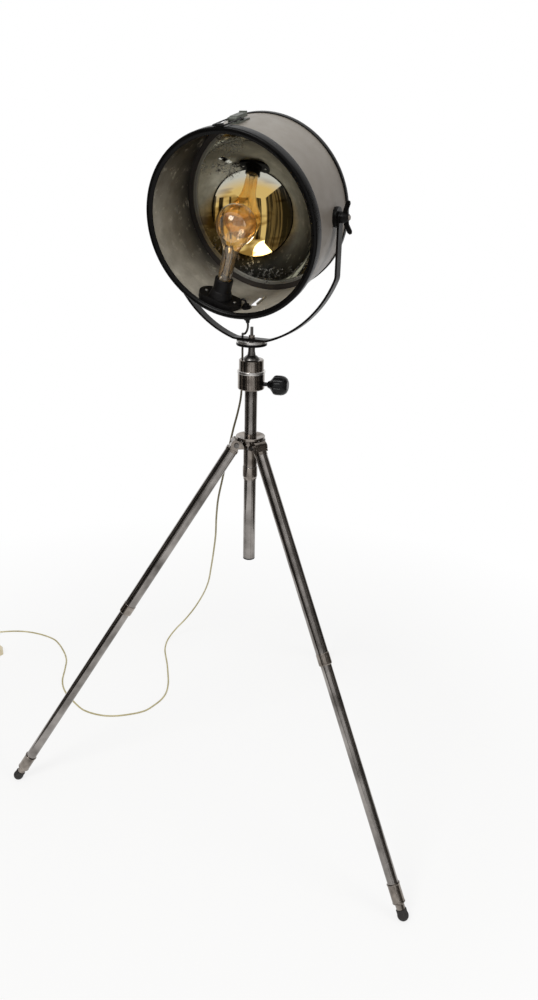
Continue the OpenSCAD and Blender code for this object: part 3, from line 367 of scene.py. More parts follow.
# %% Paints, plastics and rubber
black_paint = coated("black_paint", paint(5, 5, 5), paint(26, 23, 21), 0.22, 0.36, wear=0.7, sheen=0.1)
yoke_paint = coated("yoke_paint", paint(9, 8, 8), paint(48, 42, 39), 0.26, 0.4, wear=0.68, patches=22, sheen=0.12)
seat_paint = coated("seat_paint", paint(50, 46, 43), paint(74, 68, 62), 0.4, 0.6, sheen=0.2)
holder_resin = coated("holder_resin", paint(10, 9, 9), paint(26, 23, 22), 0.4, 0.6, wear=0.72, patches=45, sheen=0.16)
knob_plastic = coated("knob_plastic", paint(7, 7, 8), paint(34, 34, 34), 0.24, 0.4, wear=0.7, patches=70, sheen=0.2)
foot_rubber = coated("foot_rubber", paint(24, 23, 22), paint(70, 66, 62), 0.6, 0.85, wear=0.58, patches=120,
                     grain=1400, strength=0.3)
latch_paint = coated("latch_paint", paint(92, 96, 88), paint(46, 46, 42), 0.35, 0.6, wear=0.56, patches=130)
plug_plastic = coated("plug_plastic", paint(226, 214, 184), paint(178, 160, 122), 0.3, 0.5, wear=0.66, patches=60)

# %% [markdown]
# ## The drum's paint
# Outside the drum has a warm grey paint, with painted light making it a little lighter on top.
# Inside it is paler and scuffed on the left, with painted shade darkening the top above the bulb
# and the back of the left wall. Both sides are one sheet and so one material. A Mapping node carries
# a point into the drum's frame, and its distance from the axis tells the inside from the outside.

# %% Drum paint, outside and inside
def drum_frame(f):
    """The drum's own x, y, z and distance from its axis, for a finish."""
    inverse = drum_place.inverted()
    node = f.sized((1, 1, 1), spot=inverse.to_translation(), turn=inverse.to_euler("XYZ"))
    parts = f.add("ShaderNodeSeparateXYZ")
    f.feed(parts.inputs[0], node)
    x, y, z = parts.outputs
    return node, x, y, z, f.reach(x, y)


f = Finish("drum_paint")
local, x, y, z, distance = drum_frame(f)
broad, middle = f.noise(7, 4, 0.55), f.noise(38, 6, 0.6)
scratches = f.span(f.noise(60, 7, 0.75, source=f.sized((1.0, 7.0, 1.0), source=local)), 0.66, 0.72)
outer = f.blend(f.span(broad, 0.35, 0.65), paint(116, 109, 101), paint(102, 95, 88))
# painted light: the outside turns lighter towards the top, where the light from above falls
outer = f.blend(f.span(y, 0.02, 0.16, 0.0, 0.6), outer, paint(150, 143, 132))
outer = f.blend(f.maths("MULTIPLY", scratches, f.span(middle, 0.5, 0.6, 0.0, 0.8)), outer, paint(84, 76, 70))
inner = f.blend(f.span(middle, 0.35, 0.7), paint(186, 180, 166), paint(156, 149, 135))
# painted shade: the inside turns near-black towards the top, which faces down away from the light
inner = f.blend(f.span(y, -0.01, 0.12), inner, paint(24, 22, 21))
# painted shade: the back of the left inner wall darkens towards the mirror
shaded = f.maths("MULTIPLY", f.span(z, 0.035, -0.045), f.span(x, -0.02, -0.12))
inner = f.blend(f.maths("MULTIPLY", shaded, 0.9), inner, paint(26, 23, 21))
pale = f.span(f.noise(45, 8, 0.72), 0.56, 0.66)
inner = f.blend(f.maths("MULTIPLY", pale, f.span(x, -0.02, -0.13)), inner, paint(196, 190, 176))
inside = f.span(distance, 0.1580, 0.1585, 1.0, 0.0)
f.set(Base_Color=f.blend(inside, outer, inner))
f.feed(f.shader.inputs["Roughness"], f.span(middle, 0.3, 0.7, 0.34, 0.5))
f.relief(f.noise(420, 3), 0.08, 0.0003)
drum_paint = f.material

# %% [markdown]
# ## The old mirror
# A second-surface mirror loses its silver in small dark islands, most of them near the top left.
# A spot's distance from three marked places says where the damage is, and a noise breaks it into
# specks. At a speck the surface stops being a metal. The middle carries a painted reflection of the
# amber bulb, laid on the silvering as an amber tint.

# %% Spotted silvering
f = Finish("spotted_mirror")
local, x, y, z, distance = drum_frame(f)
specks = f.span(f.noise(330, 5, 0.6), 0.48, 0.52)
damage = 0.0
for spot_x, spot_y, reach in ((-0.076, 0.115, 0.036), (0.025, 0.100, 0.026), (-0.099, 0.066, 0.036)):
    away = f.reach(f.maths("SUBTRACT", x, spot_x), f.maths("SUBTRACT", y, spot_y))
    damage = f.maths("MAXIMUM", damage, f.span(away, reach, 0.4 * reach))
damage = f.maths("MULTIPLY", damage, f.span(f.noise(40, 3), 0.4, 0.55))
low_rim = f.maths("MULTIPLY", f.span(distance, 0.116, 0.136), f.span(y, -0.03, -0.08))
low_rim = f.maths("MULTIPLY", low_rim, f.span(f.noise(150, 6, 0.7), 0.56, 0.6))
damage = f.maths("MAXIMUM", f.maths("MULTIPLY", damage, specks), low_rim)
bare_rim = f.maths("MULTIPLY", f.span(distance, 0.141, 0.145), 0.75)
damage = f.maths("MAXIMUM", damage, bare_rim)
# painted reflection: an amber patch with streaks in the middle of the silvering stands for the bulb's reflection
reflection_across = f.maths("DIVIDE", f.maths("ADD", x, 0.055), 0.100)
reflection_up = f.maths("DIVIDE", f.maths("ADD", y, 0.045), 0.085)
painted_reflection_mask = f.span(f.reach(reflection_across, reflection_up), 1.0, 0.75)
bands = f.noise(14, 2, 0.5, source=f.sized((1.0, 3.0, 1.0), source=local))
silver_and_painted_reflection = f.blend(f.noise(9, 3), paint(196, 196, 186), paint(176, 174, 160))
amber = f.blend(f.span(bands, 0.42, 0.5), paint(140, 108, 52), paint(204, 174, 106))
silver_and_painted_reflection = f.blend(painted_reflection_mask, silver_and_painted_reflection, amber)
f.set(Base_Color=f.blend(damage, silver_and_painted_reflection, paint(58, 53, 48)))
f.feed(f.shader.inputs["Metallic"], f.span(damage, 0.3, 0.6, 1.0, 0.0))
f.feed(f.shader.inputs["Roughness"], f.span(damage, 0.0, 1.0, 0.03, 0.7))
mirror_silver = f.material

# %% [markdown]
# ## Glass and cable
# The bulb is clear glass with a faint amber tint. Principled glass with full transmission bends the
# view as a real bulb does. The cable's plastic is old: cream low down, olive higher up, and painted
# near-black near the gland as painted shade under the drum and head. Its own UV map runs along it,
# so the colour can change with the distance.

# %% Bulb glass, stem glass, cable
def clear_glass(name, tint, rough):
    f = Finish(name)
    film = f.noise(24, 3)
    f.set(Base_Color=f.blend(f.span(film, 0.35, 0.75), tint, (1, 1, 1, 1)), IOR=1.48)
    f.feed(f.shader.inputs["Roughness"], f.span(film, 0.3, 0.8, rough, rough + 0.03))
    f.shader.inputs["Transmission Weight"].default_value = 1.0
    return f.material


bulb_clear = clear_glass("amber_bulb_glass", (0.93, 0.70, 0.36, 1), 0.0)
stem_clear = clear_glass("stem_glass", (0.95, 0.9, 0.8, 1), 0.02)
f = Finish("cable_plastic")
run_map = f.add("ShaderNodeUVMap", uv_map="run")
parts = f.add("ShaderNodeSeparateXYZ")
f.feed(parts.inputs[0], run_map.outputs["UV"])
length_along = parts.outputs[1]
# painted shade: the first stretch from the gland, under the drum and head, is painted near-black and fades to the
# cable's own olive
tone = f.blend(f.span(length_along, 0.05, 0.3), paint(42, 38, 30), paint(96, 88, 62))
tone = f.blend(f.span(length_along, 0.4, 0.8), tone, paint(172, 161, 116))
cream = f.maths("MULTIPLY", f.span(f.noise(26, 5, 0.6), 0.42, 0.66, 0.0, 0.7), f.span(length_along, 0.3, 0.9))
tone = f.blend(cream, tone, paint(212, 202, 164))
f.set(Base_Color=tone)
f.feed(f.shader.inputs["Roughness"], f.span(f.noise(60, 3), 0.3, 0.7, 0.38, 0.55))
f.relief(f.noise(900, 2), 0.1, 0.0001)
cable_plastic = f.material
print("materials:", len(bpy.data.materials))

# %% [markdown]
# ## Softened edges
# Turned and pressed metal never has knife edges. A copy of a solid is merged into one skin, its flat
# faces are joined, and a small bevel rounds the edges so that they catch the light. Weighted
# normals keep the flats flat. The copy then stands in for the solid on the same body.

# %% Give a solid soft edges
def dress(piece, material):
    piece.data.materials.clear()
    piece.data.materials.append(material)


def applied(piece, name):
    """The piece with its modifiers made real, as a plain mesh object."""
    graph = bpy.context.evaluated_depsgraph_get()
    mesh = bpy.data.meshes.new_from_object(piece.evaluated_get(graph), preserve_all_data_layers=True, depsgraph=graph)
    bpy.data.objects.remove(piece)
    mesh.name = name
    result = bpy.data.objects.new(name, mesh)
    bpy.context.scene.collection.objects.link(result)
    return result


def bevelled(piece, width, steps=2, angle=32):
    name = piece.name
    piece.name = name + "_raw"
    bevel = piece.modifiers.new("edges", "BEVEL")
    bevel.width, bevel.segments = width, steps
    bevel.limit_method, bevel.angle_limit = "ANGLE", math.radians(angle)
    bevel.use_clamp_overlap = True
    weigh = piece.modifiers.new("normals", "WEIGHTED_NORMAL")
    weigh.keep_sharp, weigh.weight = False, 80
    return applied(piece, name)


node_body = {n: body for body, members in frame["record"]["behaviour"]["bodies"].items() for n in members}
node_slot = {s["node"]: s["material_slot"] for s in frame["record"]["subparts"]}


def softened(node, width, material, steps=2):
    mesh = frame["nodes"][node].data.copy()
    bm = bmesh.new()
    bm.from_mesh(mesh)
    bmesh.ops.remove_doubles(bm, verts=bm.verts, dist=4e-6)
    bmesh.ops.dissolve_limit(bm, angle_limit=math.radians(0.4), verts=bm.verts, edges=bm.edges)
    for face in bm.faces:
        face.smooth = True
    bm.to_mesh(mesh)
    bm.free()
    mesh.attributes.remove(mesh.attributes["custom_normal"]) if "custom_normal" in mesh.attributes else None
    piece = bpy.data.objects.new(node + "_skin", mesh)
    bpy.context.scene.collection.objects.link(piece)
    piece = bevelled(piece, width, steps)
    dress(piece, material)
    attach(piece, node_body[node])
    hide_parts(node)
    return piece


legs = ("right", "left", "rear")
soft_edges = []
for leg in legs:
    soft_edges += [("leg_head_" + leg, 0.0005, head_chrome), ("leg_collar_" + leg, 0.0004, head_chrome),
                   ("foot_ferrule_" + leg, 0.0004, head_chrome), ("foot_tip_" + leg, 0.0004, foot_rubber)]
soft_edges += [
    ("shoulder_hub", 0.0003, head_chrome), ("leg_brackets", 0.0006, head_chrome), ("hinge_bolts", 0.0004, steel),
    ("column_nut", 0.0004, head_chrome), ("column_plugs", 0.0006, knob_plastic),
    ("head_lower_housing", 0.0005, head_chrome), ("head_collar", 0.0003, bright_alloy),
    ("head_upper_housing", 0.0004, head_chrome), ("lock_knob", 0.0008, knob_plastic),
    ("wing_nut_right", 0.0009, black_paint), ("wing_nut_left", 0.0009, black_paint),
    ("platform_disc", 0.0004, black_paint), ("platform_pad", 0.0004, bright_alloy), ("yoke_stud", 0.0005, steel),
    ("yoke_nut", 0.0005, head_chrome), ("yoke", 0.0009, yoke_paint), ("pivot_spacers", 0.0006, black_paint),
    ("latch_base", 0.0003, latch_paint), ("latch_lever", 0.0006, latch_paint), ("lampholder", 0.0012, holder_resin),
    ("cable_gland", 0.0004, holder_resin), ("plug", 0.002, plug_plastic)]
for node, width, material in soft_edges:
    softened(node, width, material)
print("softened pieces:", len(soft_edges))

# %% [markdown]
# ## Turned pieces
# Mirror, dome, bulb and cap are all bodies of revolution. Spinning an outline of a few dozen points
# gives an even mesh, which matters on mirror and glass, where every facet would show.

# %% Spin an outline
def shown(name, mesh, material, body):
    piece = bpy.data.objects.new(name, mesh)
    bpy.context.scene.collection.objects.link(piece)
    dress(piece, material)
    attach(piece, body)
    return piece


def closed_skin(bm, mesh, sharp=38):
    bmesh.ops.remove_doubles(bm, verts=bm.verts, dist=1e-7)
    bmesh.ops.recalc_face_normals(bm, faces=bm.faces)
    for face in bm.faces:
        face.smooth = True
    bm.to_mesh(mesh)
    bm.free()
    mesh.set_sharp_from_angle(angle=math.radians(sharp))


def lathe(name, outline, place, steps=96, sharp=38):
    """A mesh spun from an outline of (radius, height) in millimetres round the place's Z."""
    mesh = bpy.data.meshes.new(name)
    bm = bmesh.new()
    turns = [2 * math.pi * k / steps for k in range(steps)]
    rings = []
    for r, h in outline:
        spots = [(0, 0)] if r < 1e-6 else [(r * math.cos(a), r * math.sin(a)) for a in turns]
        rings.append([bm.verts.new(place @ (Vector((u, v, h)) / 1000)) for u, v in spots])
    pairs = list(zip(rings, rings[1:]))
    if len(rings[0]) > 1 and len(rings[-1]) > 1:
        pairs.append((rings[-1], rings[0]))
    for low, high in pairs:
        for k in range(steps):
            n = (k + 1) % steps
            loop = [low[k % len(low)], low[n % len(low)], high[n % len(high)], high[k % len(high)]]
            loop = [v for i, v in enumerate(loop) if v not in loop[:i]]
            if len(loop) > 2:
                bm.faces.new(loop)
    closed_skin(bm, mesh, sharp)
    return mesh


def arc(centre, radius, start, end, steps):
    """Points on an arc; angles in degrees from straight up, towards greater radius."""
    angles = [math.radians(start + (end - start) * i / steps) for i in range(steps + 1)]
    return [(max(0.0, centre[0] + radius * math.sin(a)), centre[1] + radius * math.cos(a)) for a in angles]


# %% Mirror and rear dome
silver_centre, silver_curve = 57.57, 180.07
half_angle = math.degrees(math.acos((silver_centre + 45) / silver_curve))
outline = arc((0, silver_centre), silver_curve, 180, 180 - half_angle, 60)
outer_half = math.degrees(math.acos((silver_centre + 45) / (silver_curve + 3)))
outline += arc((0, silver_centre), silver_curve + 3, 180 - outer_half, 180, 60)
mirror = shown("mirror_bowl", lathe("mirror_bowl", outline, drum_place, 160), mirror_silver, "drum")
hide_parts("mirror")
dome_r = 233.4
dome_half = math.degrees(math.asin(160.2 / dome_r))
outline = arc((0, dome_r - 129.5), dome_r, 180, 180 - dome_half, 40)
outline += [(160.9, -64.6), (161.1, -63.6), (161.1, -54.2), (160.8, -53.2), (160.2, -53), (159.5, -53.2),
            (159.3, -53.8), (159.3, -64.8), (157.9, -65.2), (157.2, -66.4)]
outline += arc((0, dome_r - 129.5), dome_r - 1.8, 180 - dome_half + 1.1, 180, 40)
dome = shown("rear_dome", lathe("rear_dome", outline, drum_place, 160), black_paint, "drum")
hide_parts("rear_cover")
print("mirror and dome:", len(mirror.data.polygons), len(dome.data.polygons))

# %% [markdown]
# ## The bulb
# A big clear pear of thin glass: globe, long waist and straight neck. Inner and outer skins are both
# there, because glass bends light at each of them. Inside are the flared glass stem, two supports
# and the filament.

# %% Glass envelope and stem
bulb_place = on_wall(-18.94, 0.071, 0.1575)
waist = (13.1 + 60, 155.3 - math.sqrt(96.7**2 - 73.1**2))
waist_turn = math.degrees(math.asin(73.1 / 96.7))


def pear(wall):
    line = arc((0, 155.3), 36.7 - wall, 0, 180 - waist_turn, 30)
    return line + arc(waist, 60 + wall, -waist_turn, -90, 20)[1:]


outline = pear(0) + [(13.1, 53), (12.4, 51.8), (12.4, 43.8), (11.5, 43.6), (11.5, 51.8)]
outline += list(reversed(pear(0.8)))
envelope = shown("bulb_envelope", lathe("bulb_envelope", outline, bulb_place, 96, 60), bulb_clear, "drum")
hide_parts("bulb_glass")
outline = [(0, 43.8), (9, 43.8), (8.6, 48), (7, 57.5), (4.6, 67), (3.5, 80), (3, 107), (4.2, 110.5), (4.4, 113.3),
           (3.2, 116), (0, 117.3)]
stem = shown("bulb_stem", lathe("bulb_stem", outline, bulb_place, 40, 60), stem_clear, "drum")
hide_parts("bulb_filament")

# %% [markdown]
# ## Growing pieces with Geometry Nodes
# The front ring is one profile carried round a circle. The screw cap's thread is a wire on a helix,
# and the filament is a wire that zigzags round a circle. Screws are one shape placed on marked
# points. These all follow a rule, so each is a node tree with its sizes as named inputs. The tree's
# result is turned into a plain mesh at once.

# %% Tools to write and run a tree
def grower(name, inputs):
    """A tree with a geometry in and out, the named inputs, and the finish last."""
    tree = bpy.data.node_groups.new(name, "GeometryNodeTree")
    tree.interface.new_socket("Geometry", in_out="INPUT", socket_type="NodeSocketGeometry")
    tree.interface.new_socket("Geometry", in_out="OUTPUT", socket_type="NodeSocketGeometry")
    kinds = {float: "NodeSocketFloat", int: "NodeSocketInt"}
    for label, value in inputs.items():
        kind = kinds.get(type(value), "NodeSocketObject")
        socket = tree.interface.new_socket(label, in_out="INPUT", socket_type=kind)
        if value is not None:
            socket.default_value = value
    tree.interface.new_socket("Finish", in_out="INPUT", socket_type="NodeSocketMaterial")
    return tree, tree.nodes.new("NodeGroupInput"), tree.nodes.new("NodeGroupOutput")


def node(tree, kind, values=None, **settings):
    made = tree.nodes.new(kind)
    for key, value in settings.items():
        setattr(made, key, value)
    for key, value in (values or {}).items():
        if isinstance(value, bpy.types.NodeSocket):
            tree.links.new(value, made.inputs[key])
        else:
            made.inputs[key].default_value = value
    return made


def end_tree(tree, start, end, geometry):
    smooth = node(tree, "GeometryNodeSetShadeSmooth", {"Geometry": geometry})
    real = node(tree, "GeometryNodeRealizeInstances", {"Geometry": smooth.outputs[0]})
    dressed = node(tree, "GeometryNodeSetMaterial",
                   {"Geometry": real.outputs[0], "Material": start.outputs["Finish"]})
    tree.links.new(dressed.outputs[0], end.inputs["Geometry"])


def grown(name, tree, seed, place, values, material, sharp=38):
    """Runs the tree on the seed mesh and gives back a plain piece on the drum."""
    raw = bpy.data.objects.new(name + "_seed", seed)
    bpy.context.scene.collection.objects.link(raw)
    modifier = raw.modifiers.new("grow", "NODES")
    modifier.node_group = tree
    ids = {item.name: item.identifier for item in tree.interface.items_tree if item.in_out == "INPUT"}
    for label, value in {**values, "Finish": material}.items():
        modifier[ids[label]] = value
    made = applied(raw, name)
    mesh = made.data
    bpy.data.objects.remove(made)
    mesh.transform(place)
    bm = bmesh.new()
    bm.from_mesh(mesh)
    closed_skin(bm, mesh, sharp)
    print(f"{name}: {len(mesh.polygons)} faces")
    return shown(name, mesh, material, "drum")


def outline_mesh(name, points, closed=True):
    mesh = bpy.data.meshes.new(name)
    count = len(points)
    edges = [(i, (i + 1) % count) for i in range(count if closed else count - 1)]
    mesh.from_pydata([Vector(p) / 1000 for p in points], edges, [])
    return mesh


# %% Front ring: a rolled profile carried round the mouth
ring_radius, ring_steps = 0.16, 192
tree, start, end = grower("ring_from_profile", {"Ring radius": ring_radius, "Steps around": ring_steps})
profile = node(tree, "GeometryNodeMeshToCurve", {"Mesh": start.outputs["Geometry"]})
path = node(tree, "GeometryNodeCurvePrimitiveCircle",
            {"Radius": start.outputs["Ring radius"], "Resolution": start.outputs["Steps around"]})
swept = node(tree, "GeometryNodeCurveToMesh",
             {"Curve": path.outputs["Curve"], "Profile Curve": profile.outputs["Curve"]})
end_tree(tree, start, end, swept.outputs["Mesh"])
ring_profile = [
    (159.4, 81.2), (160.4, 81), (163.2, 81), (163.8, 81.4), (163.9, 82.2), (163.9, 100.4), (163.7, 101.6),
    (163.1, 102.7), (162.2, 103.5), (161, 103.95), (159.6, 104), (157.6, 103.95), (156.4, 103.6), (155.6, 103.0),
    (154.9, 102.2), (154.3, 101.7), (153.4, 101.4), (152.5, 100.8), (152.1, 99.9), (152.1, 99.2), (152.6, 98.6),
    (154.2, 98.4), (159.4, 98.4)]
seed = outline_mesh("ring_profile", [(r - 1000 * ring_radius, -t, 0) for r, t in ring_profile])
ring = grown("front_ring_rolled", tree, seed, drum_place, {"Ring radius": ring_radius, "Steps around": ring_steps},
             black_paint)
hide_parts("front_ring")

# %% Thread of the screw cap: a wire on a helix, on a turned shell
tree, start, end = grower("thread_from_helix", {
    "Turns": 4.0, "Thread radius": 0.0124, "Rise": 0.0136, "Wire radius": 0.0009})
helix = node(tree, "GeometryNodeCurveSpiral", {
    "Resolution": 40, "Rotations": start.outputs["Turns"], "Start Radius": start.outputs["Thread radius"],
    "End Radius": start.outputs["Thread radius"], "Height": start.outputs["Rise"]})
bead = node(tree, "GeometryNodeCurvePrimitiveCircle", {"Radius": start.outputs["Wire radius"], "Resolution": 10})
swept = node(tree, "GeometryNodeCurveToMesh", {
    "Curve": helix.outputs["Curve"], "Profile Curve": bead.outputs["Curve"], "Fill Caps": True})
shell = node(tree, "GeometryNodeJoinGeometry")
tree.links.new(start.outputs["Geometry"], shell.inputs[0])
tree.links.new(swept.outputs["Mesh"], shell.inputs[0])
end_tree(tree, start, end, shell.outputs[0])
outline = [(0, -8.5), (4.6, -8.5), (5, -8.1), (5, -6.5), (8.6, -5.5), (11.6, -1), (12.2, 0), (12.2, 16.6),
           (13, 17.1), (13, 17.6), (12.6, 17.6), (12.6, 10), (0, 9.7)]
cap_place = bulb_place @ Matrix.Translation((0, 0, 0.0335))
cap_shell = lathe("cap_shell", outline, Matrix(), 64)
cap = grown("bulb_screw_cap", tree, cap_shell, cap_place, {"Turns": 4.0, "Rise": 0.0136}, cap_metal)
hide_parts("bulb_cap")

# %% Filament: a wire that zigzags round the stem's supports
tree, start, end = grower("zigzag_filament", {
    "Filament radius": 0.012, "Corners": 18, "Corner height": 0.016, "Wire radius": 0.0003})
round_path = node(tree, "GeometryNodeCurvePrimitiveCircle", {
    "Radius": start.outputs["Filament radius"], "Resolution": start.outputs["Corners"]})
odd = node(tree, "ShaderNodeMath", {0: node(tree, "GeometryNodeInputIndex").outputs[0], 1: 2.0}, operation="MODULO")
lift = node(tree, "ShaderNodeMath", {0: odd.outputs[0], 1: start.outputs["Corner height"]}, operation="MULTIPLY")
offset = node(tree, "ShaderNodeCombineXYZ", {"Z": lift.outputs[0]})
bent = node(tree, "GeometryNodeSetPosition", {"Geometry": round_path.outputs["Curve"], "Offset": offset.outputs[0]})
bead = node(tree, "GeometryNodeCurvePrimitiveCircle", {"Radius": start.outputs["Wire radius"], "Resolution": 6})
swept = node(tree, "GeometryNodeCurveToMesh", {
    "Curve": bent.outputs["Geometry"], "Profile Curve": bead.outputs["Curve"]})
end_tree(tree, start, end, swept.outputs["Mesh"])
empty_seed = bpy.data.meshes.new("nothing")
filament_place = bulb_place @ Matrix.Translation((0, 0, 0.1335))
grown("filament_wire", tree, empty_seed, filament_place, {"Corners": 18}, wire)
for k in range(6):
    turn = Matrix.Rotation(math.radians(60 * k + 10), 4, "Z")
    knees = [(0, 0, 0.1125), (0.004, 0, 0.1195), (0.0095, 0, 0.1275), (0.012, 0, 0.1335)]
    line = smooth_route([bulb_place @ turn @ Vector(p) for p in knees], 0.002)
    support = tube(f"filament_support_{k}", line, 0.00025, 6)
    dress(support, wire)
    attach(support, "drum")

# %% Screws: one slotted head placed on marked points
head_outline = [(0, 0), (3.5, 0), (3.5, 1.0), (3.1, 1.9), (2.2, 2.5), (1.0, 2.75), (0, 2.8)]
head_mesh = lathe("screw_head", head_outline, Matrix(), 24)
screw = bpy.data.objects.new("screw_head_pattern", head_mesh)
slot_mesh = bpy.data.meshes.new("slot_cutter")
cutter_bm = bmesh.new()
slot_box = Matrix.Translation((0, 0, 0.0026)) @ Matrix.Diagonal((0.009, 0.0009, 0.0016, 1))
bmesh.ops.create_cube(cutter_bm, size=1, matrix=slot_box)
cutter_bm.to_mesh(slot_mesh)
cutter_bm.free()
cutter = bpy.data.objects.new("slot_cutter", slot_mesh)
for thing in (screw, cutter):
    bpy.context.scene.collection.objects.link(thing)
cut = screw.modifiers.new("slot", "BOOLEAN")
cut.operation, cut.object = "DIFFERENCE", cutter
screw = applied(screw, "screw_head_pattern")
tree, start, end = grower("screws_on_points", {"Screw": None})
pattern = node(tree, "GeometryNodeObjectInfo", {"Object": start.outputs["Screw"]})
out = node(tree, "GeometryNodeInputNamedAttribute", {"Name": "out"}, data_type="FLOAT_VECTOR")
size = node(tree, "GeometryNodeInputNamedAttribute", {"Name": "size"}, data_type="FLOAT")
aim = node(tree, "FunctionNodeAlignRotationToVector", {"Vector": out.outputs["Attribute"]}, axis="Z")
placed = node(tree, "GeometryNodeInstanceOnPoints", {
    "Points": start.outputs["Geometry"], "Instance": pattern.outputs["Geometry"],
    "Rotation": aim.outputs[0], "Scale": size.outputs["Attribute"]})
end_tree(tree, start, end, placed.outputs[0])
up_from_base = bulb_place.to_3x3() @ Vector((0, 0, 1))
out_of_top = -(on_wall(180, 0, 0).to_3x3() @ Vector((0, 0, 1)))
spots = [(bulb_place @ Vector((side * 0.030, 0, 0.0138)), up_from_base, 1.0) for side in (-1, 1)]
spots += [(on_wall(180, t, 0.1608).to_translation(), out_of_top, 0.8) for t in (0.016, 0.036)]
marks = bpy.data.meshes.new("screw_marks")
marks.from_pydata([s[0] for s in spots], [], [])
marks.attributes.new("out", "FLOAT_VECTOR", "POINT").data.foreach_set("vector", [c for s in spots for c in s[1]])
marks.attributes.new("size", "FLOAT", "POINT").data.foreach_set("value", [s[2] for s in spots])
grown("drum_screw_heads", tree, marks, Matrix(), {"Screw": screw}, bright_alloy)
for thing in (screw, cutter):
    bpy.data.objects.remove(thing)

# %% [markdown]
# ## Bent wire and the keeper
# The latch's bail is one wire bent into a loop, a tube along a rounded route made with the tool
# that made the cable. The keeper on the ring is a small box with softened edges.

# %% Bail of the latch and keeper
latch_place = on_wall(180, 0, 0.166)


def on_latch(x, ahead, out=0.0):
    return latch_place @ Vector((x, -ahead, -out))


corner_points = []
for x, ahead in ((-10.6, 38), (10.6, 38), (10.6, 105.9), (-10.6, 105.9)):
    sx, sy = (1 if x > 0 else -1), (1 if ahead > 60 else -1)
    bend = [(x - sx * 2.4, ahead), (x - sx * 0.7, ahead - sy * 0.7), (x, ahead - sy * 2.4)]
    corner_points += bend if (sx * sy < 0) else bend[::-1]
loop_route = [on_latch(px / 1000, py / 1000) for px, py in corner_points]
loop_route = loop_route + [loop_route[0]]
bail = tube("latch_bail_wire", smooth_route(loop_route, 0.0012), 0.0012, 10)
dress(bail, black_paint)
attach(bail, "latch_bail")
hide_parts("latch_bail")
keeper_mesh = bpy.data.meshes.new("ring_keeper")
bm = bmesh.new()
bmesh.ops.create_cube(bm, size=1, matrix=on_wall(180, 0.1002, 0.1651) @ Matrix.Diagonal((0.012, 0.0084, 0.0066, 1)))
bm.to_mesh(keeper_mesh)
bm.free()
keeper = bpy.data.objects.new("ring_keeper", keeper_mesh)
bpy.context.scene.collection.objects.link(keeper)
keeper = bevelled(keeper, 0.0009)
dress(keeper, black_paint)
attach(keeper, "drum")

# %% [markdown]
# ## Finishes for the plain solids
# Tubes, sheet metal and small hidden pieces keep the solid's own mesh. They only need the right
# finish.

# %% Dress the solids that stay
finishes = {
    "chrome": chrome, "steel": steel, "aluminium": bright_alloy, "black_plastic": knob_plastic,
    "black_rubber": foot_rubber, "black_paint": black_paint, "drum_paint": drum_paint,
    "latch_paint": latch_paint, "mirror": mirror_silver, "brass": brass,
    "glass": bulb_clear, "cap_metal": cap_metal, "filament": wire, "cable": cable_plastic, "plug": plug_plastic}
for node, solid in frame["nodes"].items():
    dress(solid, finishes[node_slot[node]])
dress(frame["nodes"]["pivot_studs"], drum_paint)
dress(frame["nodes"]["mirror_ring"], seat_paint)
dress(frame["nodes"]["inner_leads"], holder_resin)
for piece in cable_pieces:
    dress(piece, cable_plastic)

# %% [markdown]
# ## Floor and light
# The picture has a white ground and soft light from above and in front. The floor is pale. To the
# camera and in reflections it and the sky are white, but near the lamp its shadow stays on it. Dark
# folded cloths beside and in front of the set give the chrome its dark lines, as a product
# photographer's do.

# %% Floor, sky and lamps
floor_mesh = bpy.data.meshes.new("floor")
floor_mesh.from_pydata([(-6, -6, 0), (6, -6, 0), (6, 6, 0), (-6, 6, 0)], [], [(0, 1, 2, 3)])
floor = bpy.data.objects.new("floor", floor_mesh)
bpy.context.scene.collection.objects.link(floor)
f = Finish("pale_floor")
f.set(Base_Color=paint(236, 235, 232), Roughness=0.9)
glow = f.add("ShaderNodeEmission", Color=(1, 1, 1, 1), Strength=1.0)
rays = f.add("ShaderNodeLightPath")
seen = f.maths("MAXIMUM", rays.outputs["Is Glossy Ray"], rays.outputs["Is Transmission Ray"])
seen = f.maths("MAXIMUM", rays.outputs["Is Camera Ray"], seen)
near = f.add("ShaderNodeVectorMath", operation="LENGTH")
f.feed(near.inputs[0], f.place)
share = f.span(near.outputs["Value"], 0.7, 1.5, 0.8, 1.0)
join = f.add("ShaderNodeMixShader")
f.feed(join.inputs[0], f.maths("MULTIPLY", seen, share))
f.feed(join.inputs[1], f.shader.outputs[0])
f.feed(join.inputs[2], glow.outputs[0])
f.feed(f.tree.nodes["Material Output"].inputs["Surface"], join.outputs[0])
dress(floor, f.material)

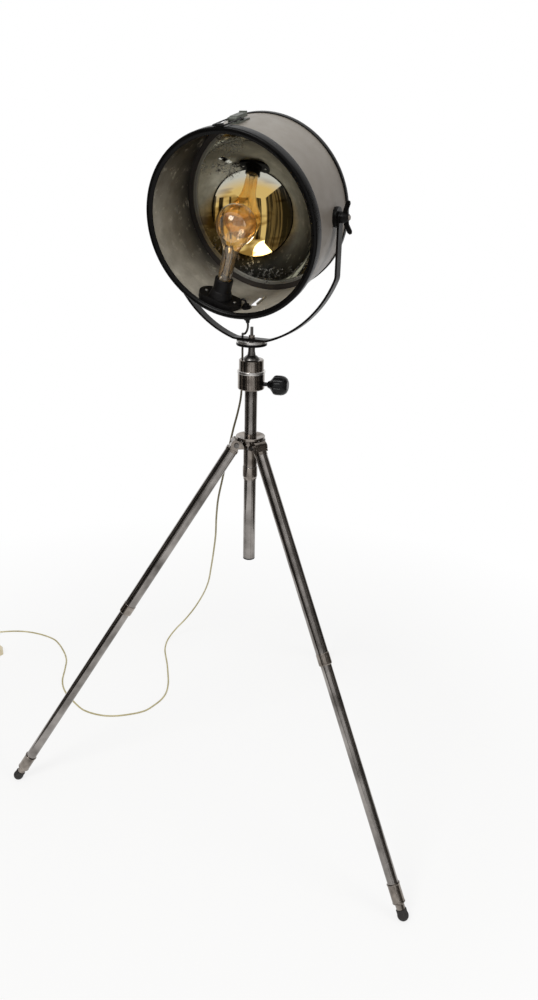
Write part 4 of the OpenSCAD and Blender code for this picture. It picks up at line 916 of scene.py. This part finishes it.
world = bpy.data.worlds.new("studio_sky")
world.use_nodes = True
bpy.context.scene.world = world
sky = world.node_tree
paths = sky.nodes.new("ShaderNodeLightPath")
either, either_more = (sky.nodes.new("ShaderNodeMath") for _ in range(2))
either.operation = either_more.operation = "MAXIMUM"
sky.links.new(paths.outputs["Is Camera Ray"], either.inputs[0])
sky.links.new(paths.outputs["Is Glossy Ray"], either.inputs[1])
sky.links.new(either.outputs[0], either_more.inputs[0])
sky.links.new(paths.outputs["Is Transmission Ray"], either_more.inputs[1])
strength = sky.nodes.new("ShaderNodeMapRange")
strength.inputs["To Min"].default_value = 0.55
strength.inputs["To Max"].default_value = 1.0
sky.links.new(either_more.outputs[0], strength.inputs["Value"])
sky.nodes["Background"].inputs["Color"].default_value = (1, 1, 1, 1)
sky.links.new(strength.outputs[0], sky.nodes["Background"].inputs["Strength"])


def soft_lamp(name, spot, aim, size, power):
    data = bpy.data.lights.new(name, "AREA")
    data.shape, data.size, data.energy = "DISK", size, power
    lamp = bpy.data.objects.new(name, data)
    bpy.context.scene.collection.objects.link(lamp)
    lamp.location = column + Vector(spot)
    lamp.rotation_euler = (Vector(aim) - Vector(spot)).to_track_quat("-Z", "Y").to_euler()
    return lamp


soft_lamp("key", (-1.6, -2.2, 3.2), (0, 0, 1.0), 1.6, 60)
soft_lamp("fill", (2.4, -1.6, 1.8), (0, 0, 0.9), 1.6, 24)


def dark_board(name, corners):
    mesh = bpy.data.meshes.new(name)
    mesh.from_pydata(corners, [], [(0, 1, 2, 3)])
    board = bpy.data.objects.new(name, mesh)
    bpy.context.scene.collection.objects.link(board)
    board.visible_camera = board.visible_diffuse = board.visible_shadow = board.visible_transmission = False
    f = Finish(name + "_cloth")
    folds = f.noise(2.2, 4, 0.6, source=f.sized((3.0, 3.0, 0.15)))
    f.set(Base_Color=f.blend(f.span(folds, 0.46, 0.56), (0.01, 0.01, 0.01, 1), (0.22, 0.2, 0.18, 1)), Roughness=0.9)
    dress(board, f.material)


dark_board("board_left", [(-1.4, -2.4, -0.2), (-1.4, 0.9, -0.2), (-1.4, 0.9, 2.6), (-1.4, -2.4, 2.6)])
dark_board("board_right", [(1.5, -2.4, -0.2), (1.5, 0.9, -0.2), (1.5, 0.9, 2.6), (1.5, -2.4, 2.6)])
for i, (low, high) in enumerate(((-1.15, -0.8), (-0.42, -0.3), (0.12, 0.3), (0.62, 0.74), (1.1, 1.4))):
    dark_board(f"board_front_{i}", [(low, -2.6, -0.2), (high, -2.6, -0.2), (high, -2.6, 2.4), (low, -2.6, 2.4)])
bpy.context.scene.view_settings.view_transform = "Standard"
